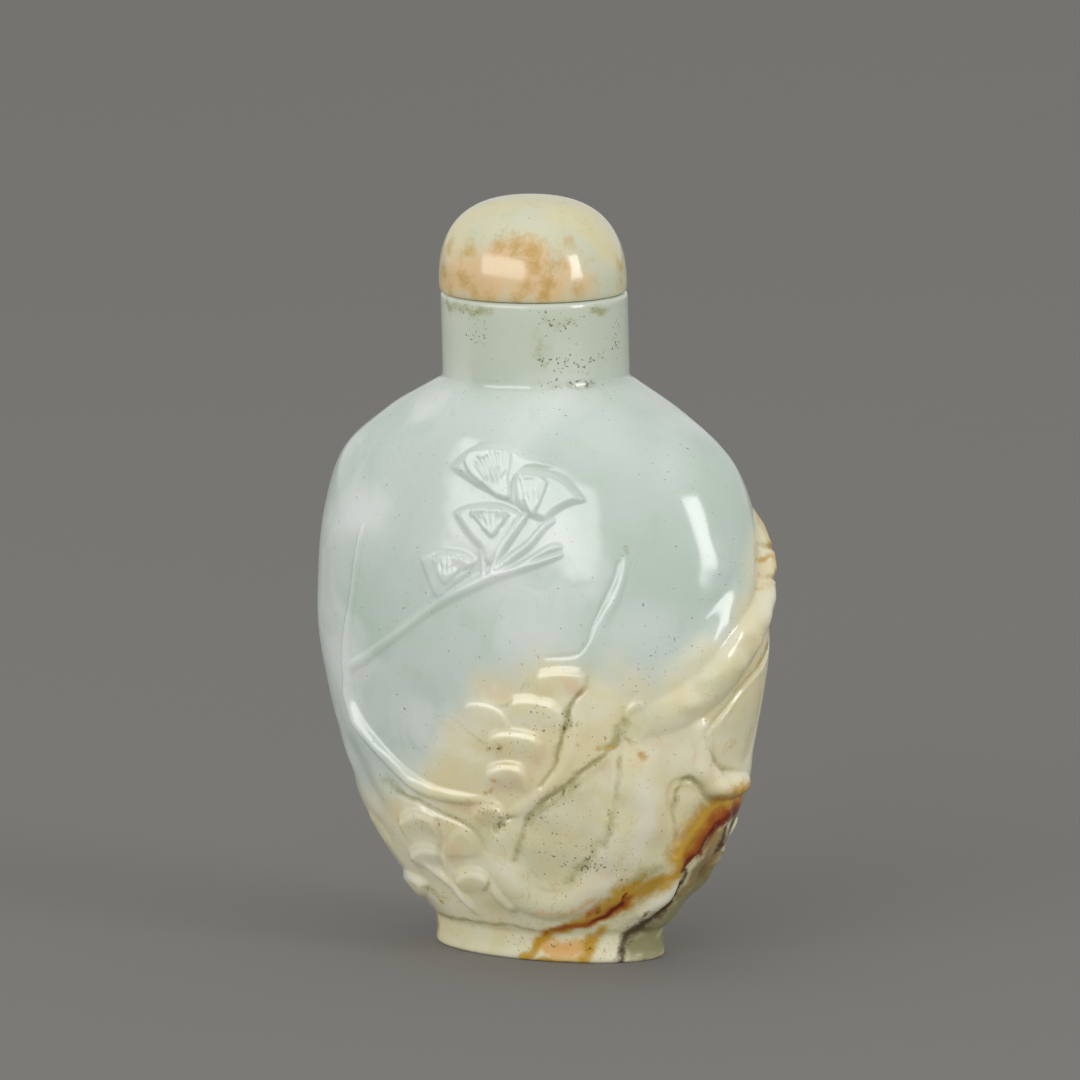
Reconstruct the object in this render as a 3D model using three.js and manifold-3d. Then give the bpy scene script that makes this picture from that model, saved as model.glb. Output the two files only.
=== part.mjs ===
// A carved jadeite snuff bottle and its domed stopper, in millimetres with +Z up.
// The bottle stands on its oval foot at Z = 0. X runs along its broad side, and the carved front
// faces -Y. A place on the wall is given as [turn, height]: the turn in degrees around the bottle,
// 0 at the front and 90 at the +X side, from -90 to 270, and the height above the foot's underside.
import * as THREE from 'three';
import { mergeVertices } from 'three/addons/utils/BufferGeometryUtils.js';
import Module from 'manifold-3d';

// Driving dimensions.
const TOTAL_HEIGHT = 70;
const FOOT_HEIGHT = 2.6;
const SHOULDER_HEIGHT = 53.4;
const NECK_TOP = 61.2;
const NECK_RADIUS = 8.6;
const LEAN = -0.0276; // sideways drift of the axis for each millimetre of height
const LEAN_START = 8; // height at which the leaning axis crosses X = 0
const FOOT_HALF_WIDTH = 11.4;
const FOOT_HALF_DEPTH = 6.7;
const FOOT_RING_WIDTH = 2.2;
const FOOT_RECESS = 0.9;
const EDGE_ROUND = 0.35;
const WALL = 3.4;
const CAVITY_FLOOR = 6.6;
const CAVITY_TOP = 50.6;
const BORE_RADIUS = 3.7;
const STOPPER_RADIUS = 8.65;
const STOPPER_GAP = 0.25;
const STOPPER_SHIFT = -0.1;
const DOME_EXPONENT = 2.6;
const PLUG_RADIUS = 3.3;
const PLUG_LENGTH = 3;

// How finely the pieces are faceted.
const WALL_SIDES = 84;
const WALL_RINGS = 39;
const RING_CROWDING = 1.3; // above 1, the rings crowd towards the foot
const CAVITY_SIDES = 24;
const STOPPER_SIDES = 36;
const FRONT_CROWDING = 0.42; // how far the facets crowd towards the carved side
const FRONT_CROWDING_TURN = 22;
const OUTLINE_SPANS = 180;
const PATH_STEPS = 5; // straight stretches between two points of a ridge
const PAD_STEPS = 4; // straight stretches between two points of a pad's outline
const CAVITY_RINGS = 12;
const DOME_RINGS = 10;

const JADE = 0xbfcabd;
const STOPPER_JADE = 0xc9c8a4;

const BACK_SEAM = 270; // a turn past this one is counted from -90 again

const degrees = THREE.MathUtils.degToRad;
const smooth = THREE.MathUtils.smoothstep;

// The plain wall, before it was carved: height, half width and half depth.
const WALL_OUTLINE = new THREE.CatmullRomCurve3([
  [FOOT_HEIGHT, 11.3, 6.7],
  [6.7, 14.6, 9.0],
  [12.8, 18.4, 11.4],
  [20.4, 20.5, 13.4],
  [28, 22.0, 14.3],
  [34, 22.05, 14.05],
  [40, 21.35, 13.35],
  [45.8, 19.2, 12.3],
  [49.8, 14.5, 11.1],
  [SHOULDER_HEIGHT, NECK_RADIUS, NECK_RADIUS],
].map(([height, width, depth]) => new THREE.Vector3(width, depth, height)), false, 'catmullrom', 0.5);
const OUTLINE_STEPS = WALL_OUTLINE.getPoints(OUTLINE_SPANS);

// Half width and half depth of the plain wall at a height.
function wallSize(height) {
  const next = OUTLINE_STEPS.findIndex((step) => step.z >= height);
  if (next <= 0) {
    const end = next === 0 ? OUTLINE_STEPS[0] : OUTLINE_STEPS.at(-1);
    return [end.x, end.y];
  }
  const low = OUTLINE_STEPS[next - 1];
  const high = OUTLINE_STEPS[next];
  const share = (height - low.z) / (high.z - low.z);
  return [THREE.MathUtils.lerp(low.x, high.x, share), THREE.MathUtils.lerp(low.y, high.y, share)];
}

const axisShift = (height) => LEAN * (height - LEAN_START);

// A point on an oval around the leaning axis.
function ovalPoint(halfWidth, halfDepth, turn, height) {
  const across = axisShift(height) + halfWidth * Math.sin(degrees(turn));
  return new THREE.Vector3(across, -halfDepth * Math.cos(degrees(turn)), height);
}

const wallPoint = (turn, height) => ovalPoint(...wallSize(height), turn, height);

// Ridges: a path over the wall with a half width and a rise at each of its points.
// Each point is [turn, height, half width, rise].
const RIDGES = {
  rightTrunk: [[41, 24.4, 1.8, 0.4], [50, 24.7, 2.4, 0.8], [60, 26.1, 2.7, 1.0], [71, 28.5, 2.8, 1.2],
    [81.9, 31.1, 2.7, 1.2], [93.7, 33.4, 2.6, 1.3], [102.6, 35.6, 2.4, 1.3], [106.7, 38.6, 2.0, 1.2],
    [109.2, 41.4, 1.2, 0.5]],
  trunkFoot: [[65.5, 23.1, 1.4, 0.6], [68, 20.9, 1.4, 0.7], [70, 18.6, 1.4, 0.8], [77, 17.2, 1.5, 1.0],
    [89, 16.9, 1.5, 1.2], [97, 16.9, 1.3, 0.8]],
  stem: [[41.2, 39.1, 0.8, 0.3], [39.9, 37.4, 0.9, 0.5], [37, 34.9, 1.0, 0.5], [33.4, 31.4, 1.4, 0.4],
    [34, 28.8, 1.9, 0.4], [35.6, 26, 2.4, 0.4], [37, 23.6, 2.4, 0.4]],
  leftTrunk: [[-36, 40, 0.8, 0.4], [-36.9, 37.4, 0.9, 0.4], [-38.6, 33, 1.0, 0.5],
    [-41.5, 28.9, 1.2, 0.6], [-44, 24.5, 1.4, 0.7], [-41, 21.8, 1.4, 0.8], [-35, 19.8, 1.4, 0.9],
    [-27, 17.7, 1.4, 0.9], [-17, 16.3, 1.4, 0.8], [-6, 15.9, 1.2, 0.6]],
  branch: [[-42.5, 26.5, 1.1, 0.5], [-32.3, 28.2, 1.0, 0.5], [-21.8, 30.5, 1.0, 0.5], [-12.4, 33, 1.0, 0.5],
    [-6.5, 34.5, 1.0, 0.5], [0.5, 35.9, 1.0, 0.5], [6.5, 37, 1.0, 0.5], [13.1, 37.8, 0.9, 0.5],
    [23.7, 39.2, 0.8, 0.4]],
  middleTwig: [[6.1, 37.3, 0.8, 0.4], [11.4, 40.9, 0.8, 0.4], [14.7, 42.5, 0.8, 0.4]],
  rightTwig: [[7.5, 37.6, 0.8, 0.4], [15.5, 40, 0.8, 0.45], [21.2, 42.1, 0.8, 0.4]],
  rootRidge: [[27.6, 25.8, 1.0, 0.4], [26.8, 22.3, 1.1, 0.5], [24.2, 19.7, 1.2, 0.6],
    [19.5, 17.6, 1.2, 0.6], [13.9, 16, 1.2, 0.6], [8.5, 14.8, 1.2, 0.6]],
  hollowRim: [[5.5, 13.2, 1.3, 0.6], [3.4, 11, 1.6, 0.8], [4, 8.8, 1.7, 0.9], [8.5, 7, 1.8, 0.9],
    [17.7, 6, 1.7, 0.9], [28.3, 6.6, 1.6, 0.8], [37, 8.3, 1.5, 0.5]],
  lowRidge: [[-34.5, 8, 1.0, 0.5], [-28, 7.2, 1.1, 0.6], [-22, 6.2, 1.2, 0.8], [-18, 4.8, 1.1, 0.8]],
  lowBlob: [[-3.2, 7.7, 1.0, 0.5], [2.5, 5.7, 1.1, 0.8]],
  rightRock: [[46, 19.8, 2.2, 0.4], [48.3, 16.4, 2.6, 0.5], [48.1, 12.5, 2.6, 0.5], [46, 9, 2.2, 0.4]],
  rightLeaf: [[63.6, 11.7, 1.2, 0.5], [68, 8.8, 1.4, 0.7], [69, 6.6, 1.4, 0.8], [64, 5, 1.3, 0.5]],
  rightFacet: [[87, 15.2, 1.4, 0.6], [87, 13, 1.6, 0.7], [91, 10.2, 1.6, 0.8], [97, 8.2, 1.5, 0.7]],
  backTrunk: [[132, 20, 2.4, 0.9], [145, 24.5, 2.1, 0.9], [159, 30, 1.8, 0.8], [170, 35.5, 1.4, 0.7],
    [176, 40, 1.0, 0.4]],
  backBranch: [[159, 30, 1.4, 0.6], [176, 32.5, 1.2, 0.5], [192, 36, 1.0, 0.4]],
};

// Pads: flat raised shapes, and hollows where the rise is negative. The outline is a closed run of
// [turn, height], the edge is the width of its slope, and the fall lowers a pad towards its foot.
const PADS = {
  upperNeedles: { rise: 0.5, edge: 1, fall: 0, outline: [[-8.6, 46.2], [-3.6, 48.3], [3, 49.1], [16.7, 48.7],
    [27.1, 47], [32.8, 43.9], [23.9, 42.7], [12.8, 43.1], [2.2, 44.3]] },
  middleNeedles: { rise: 0.45, edge: 1, fall: 0, outline: [[-5.7, 42.3], [-0.6, 43.5], [9.6, 43.7],
    [14.6, 42.8], [9.8, 39.4], [4.1, 37.7], [-0.4, 39.9]] },
  lowerNeedles: { rise: 0.45, edge: 1, fall: 0, outline: [[-14.8, 37.9], [-10, 39.1], [-1.3, 39.2],
    [2.3, 38.5], [-3.4, 35.4], [-9.4, 34.3]] },
  leftBoss: { rise: 0.8, edge: 1, fall: 0.4, outline: arch(-26, 12.4, 9.5, 2.1) },
  leftMiddleBoss: { rise: 0.8, edge: 1, fall: 0.4, outline: arch(-34, 9.4, 13, 1.7) },
  middleBoss: { rise: 0.85, edge: 1, fall: 0.4, outline: arch(-11.5, 10.8, 8, 2.4) },
  lowBoss: { rise: 0.8, edge: 1, fall: 0.35, outline: arch(-12.5, 7.6, 9, 1.9) },
  cornerBoss: { rise: 0.85, edge: 1, fall: 0, outline: arch(-53, 5.4, 16, 2.2) },
  edgeBoss: { rise: 0.8, edge: 1, fall: 0.2, outline: arch(-57, 10.4, 14, 2.5) },
  leafHollow: { rise: -0.6, edge: 1.2, fall: 0, outline: [[37.6, 21.1], [28.6, 19], [17.6, 15.9],
    [10.4, 12.6], [8.4, 10.2], [13.2, 7.7], [24, 7.6], [33.6, 9.6], [38, 14]] },
  archHollow: { rise: -0.6, edge: 0.8, fall: 0, outline: [[62.5, 11], [56.7, 16.1], [59.7, 18],
    [67.9, 17.5], [75, 15.2], [69, 12.6]] },
  sidePanel: { rise: -0.4, edge: 1, fall: 0, outline: [[72.8, 21.4], [73.6, 24], [83.4, 26.8], [93.7, 28.1],
    [104, 25.3], [105, 22], [100, 18.6], [85, 18.7]] },
  backBossEdge: { rise: 0.8, edge: 1, fall: 0.5, outline: arch(124, 12.6, 14, 3.0) },
  backBossMiddle: { rise: 0.9, edge: 1, fall: 0.6, outline: arch(150, 14.6, 13, 3.4) },
  backBossFar: { rise: 0.8, edge: 1, fall: 0.5, outline: arch(186, 12.6, 15, 3.2) },
  backBossEnd: { rise: 0.7, edge: 1, fall: 0.5, outline: arch(222, 10.8, 15, 2.8) },
  backLowBoss: { rise: 0.7, edge: 1, fall: 0.3, outline: arch(138, 7.6, 14, 2.4) },
  backLowMiddle: { rise: 0.8, edge: 1, fall: 0.3, outline: arch(170, 7.4, 14, 2.4) },
  backLowFar: { rise: 0.7, edge: 1, fall: 0.3, outline: arch(206, 6.8, 14, 2.2) },
  backLowEnd: { rise: 0.7, edge: 1, fall: 0.3, outline: arch(246, 6.6, 16, 2.0) },
};

// Overlapping scales: the turn and height of the top of each arc, with its half width, the height of
// the arc and its rise. A scale is proudest along its arc and dies away below it.
const SCALES = [
  { turn: 23.2, top: 29.3, halfWidth: 2.7, arc: 1.7, rise: 0.65 },
  { turn: 4.1, top: 26.3, halfWidth: 2.7, arc: 1.5, rise: 0.55 },
  { turn: 17.4, top: 26.8, halfWidth: 3.1, arc: 1.7, rise: 0.65 },
  { turn: 13.8, top: 23.5, halfWidth: 3.2, arc: 1.7, rise: 0.75 },
  { turn: 9.6, top: 20.3, halfWidth: 2.7, arc: 1.5, rise: 0.75 },
  { turn: 2.8, top: 16.3, halfWidth: 2.1, arc: 1.3, rise: 0.7 },
];

// An arch-topped outline around a point of the wall, lower below that point than above it.
function arch(turn, height, halfTurn, rise) {
  const belowShare = 0.7;
  const rounds = [0, 45, 90, 135, 180, 225, 270, 315].map(degrees);
  return rounds.map((round) => [
    turn + halfTurn * Math.cos(round),
    height + rise * Math.sin(round) * (Math.sin(round) < 0 ? belowShare : 1),
  ]);
}

// Ridges become short stretches of wall path, each with its sizes at both ends.
const curveThrough = (places, closed = false) => new THREE.CatmullRomCurve3(
  places.map(([across, up]) => new THREE.Vector3(across, up, 0)),
  closed,
);
const ridgeLinks = Object.values(RIDGES).flatMap((points) => {
  const route = curveThrough(points);
  const sizes = curveThrough(points.map(([, , half, rise]) => [half, rise]));
  const count = (points.length - 1) * PATH_STEPS;
  const stops = Array.from({ length: count + 1 }, (_, step) => {
    const place = route.getPoint(step / count);
    const size = sizes.getPoint(step / count);
    return { at: wallPoint(place.x, place.y), half: size.x, rise: size.y };
  });
  return stops.slice(1).map((stop, index) => ({ from: stops[index], to: stop }));
});

const padOutlines = Object.values(PADS).map((pad) => {
  const loop = curveThrough(pad.outline, true).getPoints(pad.outline.length * PAD_STEPS).slice(0, -1);
  const heights = loop.map((place) => place.y);
  return {
    ...pad,
    loop,
    rim: loop.map((place) => wallPoint(place.x, place.y)),
    low: Math.min(...heights),
    high: Math.max(...heights),
  };
});

const stretch = new THREE.Line3();
const nearest = new THREE.Vector3();

const RIDGE_SHARPNESS = 1.2; // 1 is a round back, and above it the flanks run out more gently

function ridgeRise(link, point) {
  stretch.set(link.from.at, link.to.at);
  const along = stretch.closestPointToPointParameter(point, true);
  stretch.at(along, nearest);
  const half = THREE.MathUtils.lerp(link.from.half, link.to.half, along);
  const rise = THREE.MathUtils.lerp(link.from.rise, link.to.rise, along);
  const away = nearest.distanceTo(point) / half;
  return away < 1 ? rise * (1 - away * away) ** RIDGE_SHARPNESS : 0;
}

function isInside(loop, turn, height) {
  let inside = false;
  loop.forEach((here, index) => {
    const next = loop[(index + 1) % loop.length];
    const crosses = here.y > height !== next.y > height;
    if (crosses && turn < here.x + ((next.x - here.x) * (height - here.y)) / (next.y - here.y)) {
      inside = !inside;
    }
  });
  return inside;
}

function padRise(pad, point, turn, height) {
  if (height < pad.low || height > pad.high || !isInside(pad.loop, turn, height)) {
    return 0;
  }
  const inset = Math.min(...pad.rim.map((edge, index) => {
    stretch.set(edge, pad.rim[(index + 1) % pad.rim.length]);
    stretch.closestPointToPoint(point, true, nearest);
    return nearest.distanceTo(point);
  }));
  const lowered = pad.fall * (1 - (height - pad.low) / (pad.high - pad.low));
  return (pad.rise - lowered * Math.sign(pad.rise)) * smooth(inset, 0, pad.edge);
}

const SCALE_TAIL = 1.9; // below the middle of its arc a scale is longer than above it, by this factor
const SCALE_EDGE = 0.9; // width of the slope at its edge
const SCALE_FADE = [-1.4, 0.9]; // heights, in arcs, at which a scale starts to rise and is full

function scaleRise(scale, turn, height) {
  const middle = wallPoint(scale.turn, height);
  const across = middle.distanceTo(wallPoint(turn, height)) / scale.halfWidth;
  const up = (height - scale.top) / scale.arc + 1;
  const inset = 1 - Math.hypot(across, up > 0 ? up : up / SCALE_TAIL);
  return scale.rise * smooth(inset * scale.arc, 0, SCALE_EDGE) * smooth(up, ...SCALE_FADE);
}

// The lower wall is rockwork that stands a little proud of the plain wall, in slow swells.
const SWELL = 0.22;
const SWELL_TOP = 24; // no swells above this height, and full ones below half of it

function rockSwell(turn, height) {
  const low = 1 - smooth(height, SWELL_TOP / 2, SWELL_TOP);
  const around = Math.sin(degrees(turn * 7 + height * 16));
  const upwards = Math.sin(degrees(height * 38 + turn * 2));
  return low * SWELL * around * upwards;
}

// How far the carved surface stands out from the plain wall. Inside raised work, hollows are shallow.
const FOOT_FADE = 0.8;
const CARVING_TOP = 50;
const SHALLOWER = 0.3;

function carvedRise(point, turn, height) {
  const ridges = ridgeLinks.map((link) => ridgeRise(link, point));
  const pads = padOutlines.map((pad) => padRise(pad, point, turn, height));
  const scales = SCALES.map((scale) => scaleRise(scale, turn, height));
  const raised = Math.max(0, ...ridges, ...pads, ...scales);
  const hollowed = Math.min(0, ...pads);
  const aboveFoot = smooth(height, FOOT_HEIGHT, FOOT_HEIGHT + FOOT_FADE);
  const belowNeck = 1 - smooth(height, CARVING_TOP, SHOULDER_HEIGHT);
  const carved = raised + hollowed * (raised > 0 ? SHALLOWER : 1) + rockSwell(turn, height);
  return aboveFoot * belowNeck * carved;
}

// Solids from closed meshes, and meshes from solids.
const wasm = await Module();
wasm.setup();
const SAME_POINT = 1e-4;
const NO_AREA = 1e-6;

function solidFrom(geometry) {
  const bare = geometry.clone();
  bare.deleteAttribute('normal');
  bare.deleteAttribute('uv');
  const welded = mergeVertices(bare, SAME_POINT);
  return new wasm.Manifold(new wasm.Mesh({
    numProp: 3,
    vertProperties: new Float32Array(welded.attributes.position.array),
    triVerts: new Uint32Array(welded.index.array),
  }));
}

function geometryFrom(solid) {
  const mesh = solid.getMesh();
  const geometry = new THREE.BufferGeometry();
  geometry.setAttribute('position', new THREE.BufferAttribute(mesh.vertProperties, 3));
  geometry.setIndex(new THREE.BufferAttribute(mesh.triVerts, 1));
  geometry.computeVertexNormals();
  return geometry;
}

// Splits each four-sided facet along the diagonal that bends it least, so that facets follow a ridge.
function splitAlongRidges(geometry, sides, bands) {
  const { index } = geometry;
  const { position } = geometry.attributes;
  const cornerOf = (at) => new THREE.Vector3().fromBufferAttribute(position, at);
  const normalOf = (a, b, c) => {
    const [from, left, right] = [a, b, c].map(cornerOf);
    return left.sub(from).cross(right.sub(from));
  };
  for (let facet = 0; facet < sides * bands; facet += 1) {
    const start = facet * 6;
    const [a, b, d, c] = [0, 1, 2, 3].map((offset) => index.getX(start + offset));
    const asTurned = normalOf(a, b, d).normalize().dot(normalOf(c, d, b).normalize());
    const across = normalOf(a, b, c).normalize().dot(normalOf(a, c, d).normalize());
    const halves = [[a, b, d], [c, d, b], [a, b, c], [a, c, d]];
    const smallest = Math.min(...halves.map((corners) => normalOf(...corners).length()));
    if (smallest > NO_AREA && across > asTurned) {
      [a, b, c, a, c, d].forEach((at, offset) => index.setX(start + offset, at));
    }
  }
}

// A turned solid whose points are then moved by place(radius, turn, height).
function turned(profile, sides, place) {
  const outline = profile.map(([radius, height]) => new THREE.Vector2(radius, height));
  const geometry = new THREE.LatheGeometry(outline, sides);
  const { position } = geometry.attributes;
  const ringSize = profile.length;
  for (let index = 0; index < position.count; index += 1) {
    const side = Math.floor(index / ringSize) % sides;
    const [radius, height] = profile[index % ringSize];
    const moved = place(radius, (360 * side) / sides, height);
    position.setXYZ(index, moved.x, moved.y, moved.z);
  }
  splitAlongRidges(geometry, sides, ringSize - 1);
  return geometry;
}

// The outside of the bottle, from the recess under the foot to the mouth.
function bottleOutside() {
  const ringInner = FOOT_HALF_WIDTH - FOOT_RING_WIDTH;
  const foot = [
    [0, FOOT_RECESS],
    [ringInner - FOOT_RECESS, FOOT_RECESS],
    [ringInner, 0],
    [FOOT_HALF_WIDTH - EDGE_ROUND, 0],
    [FOOT_HALF_WIDTH, EDGE_ROUND],
    [FOOT_HALF_WIDTH - EDGE_ROUND, FOOT_HEIGHT],
  ];
  const wall = Array.from({ length: WALL_RINGS }, (_, ring) => {
    const step = WALL_OUTLINE.getPointAt(((ring + 0.5) / WALL_RINGS) ** RING_CROWDING);
    return [step.x, step.z];
  });
  const neck = [
    [NECK_RADIUS, SHOULDER_HEIGHT],
    [NECK_RADIUS, NECK_TOP - EDGE_ROUND],
    [NECK_RADIUS - EDGE_ROUND, NECK_TOP],
    [0, NECK_TOP],
  ];
  return turned([...foot, ...wall, ...neck], WALL_SIDES, (radius, evenTurn, height) => {
    const crowd = FRONT_CROWDING * Math.sin(degrees(evenTurn - FRONT_CROWDING_TURN));
    const turn = evenTurn - THREE.MathUtils.radToDeg(crowd);
    if (height <= FOOT_HEIGHT) {
      const inset = radius - FOOT_HALF_WIDTH;
      return ovalPoint(radius, radius === 0 ? 0 : FOOT_HALF_DEPTH + inset, turn, height);
    }
    if (height >= SHOULDER_HEIGHT) {
      return ovalPoint(radius, radius, turn, height);
    }
    const [width, depth] = wallSize(height);
    const plain = wallPoint(turn, height);
    const angle = degrees(turn);
    const out = new THREE.Vector3(depth * Math.sin(angle), -width * Math.cos(angle), 0).normalize();
    const around = turn > BACK_SEAM ? turn - 360 : turn;
    return plain.addScaledVector(out, carvedRise(plain, around, height));
  });
}

// The hollow: a cavity that follows the wall from inside, and the bore through the neck.
const FLOOR_DISH = 0.6; // how much lower the middle of the cavity's floor is than its edge
const FLOOR_SHARE = 0.8; // how far out the flatter part of that floor reaches
const PAST_MOUTH = 1; // the cutting shape of the bore reaches this far out of the mouth

function bottleInside() {
  const walls = Array.from({ length: CAVITY_RINGS }, (_, ring) => {
    const height = THREE.MathUtils.lerp(CAVITY_FLOOR, CAVITY_TOP, ring / (CAVITY_RINGS - 1));
    return [wallSize(height)[0] - WALL, height];
  });
  const floor = [
    [0, CAVITY_FLOOR - FLOOR_DISH],
    [walls[0][0] * FLOOR_SHARE, CAVITY_FLOOR - FLOOR_DISH / 2],
  ];
  const bore = [
    [BORE_RADIUS, CAVITY_TOP + 1],
    [BORE_RADIUS, NECK_TOP + PAST_MOUTH],
    [0, NECK_TOP + PAST_MOUTH],
  ];
  return turned([...floor, ...walls, ...bore], CAVITY_SIDES, (radius, turn, height) => {
    const [width, depth] = wallSize(height);
    const flatness = height > CAVITY_TOP ? 1 : (depth - WALL) / (width - WALL);
    return ovalPoint(radius, radius * flatness, turn, height);
  });
}

// The stopper: a dome that rests on the mouth, with a short plug standing in the bore.
function stopperShape() {
  const underside = NECK_TOP + STOPPER_GAP;
  const rimHeight = underside + EDGE_ROUND;
  const domeHeight = TOTAL_HEIGHT - rimHeight;
  const dome = Array.from({ length: DOME_RINGS + 1 }, (_, ring) => {
    const climb = degrees((90 * ring) / DOME_RINGS);
    return [
      STOPPER_RADIUS * Math.cos(climb) ** (2 / DOME_EXPONENT),
      rimHeight + domeHeight * Math.sin(climb) ** (2 / DOME_EXPONENT),
    ];
  });
  dome[DOME_RINGS] = [0, TOTAL_HEIGHT];
  const profile = [
    [0, underside - PLUG_LENGTH],
    [PLUG_RADIUS - EDGE_ROUND, underside - PLUG_LENGTH],
    [PLUG_RADIUS, underside - PLUG_LENGTH + EDGE_ROUND],
    [PLUG_RADIUS, underside],
    [STOPPER_RADIUS - EDGE_ROUND, underside],
    ...dome,
  ];
  return turned(profile, STOPPER_SIDES, (radius, turn, height) => {
    const centred = ovalPoint(radius, radius, turn, height);
    return centred.setX(centred.x + STOPPER_SHIFT);
  });
}

function jadePiece(name, geometry, color) {
  const material = new THREE.MeshStandardMaterial({ color, roughness: 0.18, metalness: 0 });
  const mesh = new THREE.Mesh(geometry, material);
  mesh.name = name;
  return mesh;
}

const bottleSolid = solidFrom(bottleOutside()).subtract(solidFrom(bottleInside()));
const snuffBottle = new THREE.Group();
snuffBottle.add(
  jadePiece('bottle', geometryFrom(bottleSolid), JADE),
  jadePiece('stopper', stopperShape(), STOPPER_JADE),
);

export default snuffBottle;
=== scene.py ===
"""A carved jadeite snuff bottle and its domed stopper, in place of their plainer solids.

The carving is worked out in millimetres on the wall of the bottle. A place on the wall is
(turn, height): turn in degrees around the bottle, 0 at the carved front (-Y) and 90 at the +X
side, and height above the plane that the foot stands on.
"""
import math

import bpy
import numpy as np
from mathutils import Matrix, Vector


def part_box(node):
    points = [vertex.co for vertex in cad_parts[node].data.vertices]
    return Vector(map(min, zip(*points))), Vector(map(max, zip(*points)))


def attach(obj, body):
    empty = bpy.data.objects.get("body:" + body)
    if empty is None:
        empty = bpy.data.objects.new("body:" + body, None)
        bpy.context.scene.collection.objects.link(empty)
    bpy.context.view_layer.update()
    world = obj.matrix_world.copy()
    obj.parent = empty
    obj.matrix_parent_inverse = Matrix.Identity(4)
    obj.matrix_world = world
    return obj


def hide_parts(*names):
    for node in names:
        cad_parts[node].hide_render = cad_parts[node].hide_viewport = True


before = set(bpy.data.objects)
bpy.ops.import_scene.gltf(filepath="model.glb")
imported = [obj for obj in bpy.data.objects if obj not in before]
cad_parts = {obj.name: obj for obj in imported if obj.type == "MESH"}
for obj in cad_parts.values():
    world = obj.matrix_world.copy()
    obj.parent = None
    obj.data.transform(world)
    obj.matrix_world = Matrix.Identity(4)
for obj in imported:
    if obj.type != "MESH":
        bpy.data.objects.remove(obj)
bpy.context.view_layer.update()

MM = 0.001  # one millimetre in metres

# ------------ driving sizes, in millimetres
stopper_low, stopper_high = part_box("stopper")
MOUTH_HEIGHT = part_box("bottle")[1].z / MM
TOTAL_HEIGHT = stopper_high.z / MM
STOPPER_MIDDLE = (stopper_low.x + stopper_high.x) / 2 / MM
STOPPER_RADIUS = (stopper_high.y - stopper_low.y) / 2 / MM
PLUG_FOOT = stopper_low.z / MM
FOOT_HEIGHT = 2.6
SHOULDER_HEIGHT = 53.4
NECK_RADIUS = 8.6
BELLY_HALF_WIDTH = 22.0
BELLY_HALF_DEPTH = 14.3
LEAN = -0.0276  # how far the axis shifts towards +X for each millimetre up
LEAN_START = 8.0
FOOT_HALF_WIDTH = 11.4
FOOT_HALF_DEPTH = 6.7
FOOT_RING_WIDTH = 2.2
FOOT_RECESS = 0.9
EDGE_ROUND = 0.35
WALL = 3.4
CAVITY_FLOOR = 6.6
CAVITY_TOP = 50.6
BORE_RADIUS = 3.7
BORE_CHAMFER = 0.3
STOPPER_GAP = 0.05  # between the mouth and the stopper that rests on it
RIM_INSET = 0.04    # how far the rim of the stopper stands back from its dome
DOME_EXPONENT = 2.6
PLUG_RADIUS = 3.3
POLE_RADIUS = 0.05  # of the small flat where the rings of the stopper close

# The plain wall before it was carved: height, half width, half depth.
WALL_OUTLINE = [
    (FOOT_HEIGHT, 11.3, 6.7), (6.7, 14.6, 9.0), (12.8, 18.4, 11.4), (20.4, 20.5, 13.4),
    (28, BELLY_HALF_WIDTH, BELLY_HALF_DEPTH), (34, 22.05, 14.05), (40, 21.35, 13.35), (45.8, 19.2, 12.3),
    (49.8, 14.5, 11.1), (SHOULDER_HEIGHT, NECK_RADIUS, NECK_RADIUS),
]


# ------------ small mathematics
def smoothstep(value, low, high):
    share = np.clip((value - low) / (high - low), 0, 1)
    return share * share * (3 - 2 * share)


def bevel(value, low, high):
    """A rise from 0 to 1 that is nearly straight between two values."""
    return 0.6 * np.clip((value - low) / (high - low), 0, 1) + 0.4 * smoothstep(value, low, high)


def soft_max(first, second, blend):
    """The larger of two heights, with a rounded crease where they meet."""
    mix = np.clip(0.5 + 0.5 * (first - second) / blend, 0, 1)
    return second * (1 - mix) + first * mix + blend * mix * (1 - mix)


def spline(points, steps, closed=False):
    """A smooth curve through the points, with so many steps between each two."""
    points = np.array(points, float)
    if closed:
        padded = np.vstack([points[-1], points, points[:2]])
    else:
        padded = np.vstack([2 * points[0] - points[1], points, 2 * points[-1] - points[-2]])
    share = np.linspace(0, 1, steps, endpoint=False)[:, None]
    curve = []
    for before, start, after, end in zip(padded, padded[1:], padded[2:], padded[3:]):
        leave, reach, rise = (after - before) / 2, (end - start) / 2, after - start
        curve.append(start + leave * share + (3 * rise - 2 * leave - reach) * share ** 2
                     + (leave + reach - 2 * rise) * share ** 3)
    return np.vstack(curve if closed else curve + [points[-1]])


OUTLINE = spline(WALL_OUTLINE, 24)


def wall_size(height):
    """Half the width and half the depth of the plain wall."""
    return (np.interp(height, OUTLINE[:, 0], OUTLINE[:, 1]),
            np.interp(height, OUTLINE[:, 0], OUTLINE[:, 2]))


def axis_shift(height):
    """How far the middle of the leaning bottle has moved along X."""
    return LEAN * (height - LEAN_START)


def wall_point(turn, height):
    """The point of the plain wall at a place on it."""
    width, depth = wall_size(height)
    angle = np.radians(turn)
    return np.stack([axis_shift(height) + width * np.sin(angle), -depth * np.cos(angle),
                     height + 0 * angle], axis=-1)


def wall_normal(turn, height, step=0.4):
    """The way straight out of the plain wall, from four places around the one given."""
    around = wall_point(turn + step, height) - wall_point(turn - step, height)
    up = wall_point(turn, height + step) - wall_point(turn, height - step)
    normal = np.cross(around, up)
    return normal / np.linalg.norm(normal, axis=-1, keepdims=True)


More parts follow.
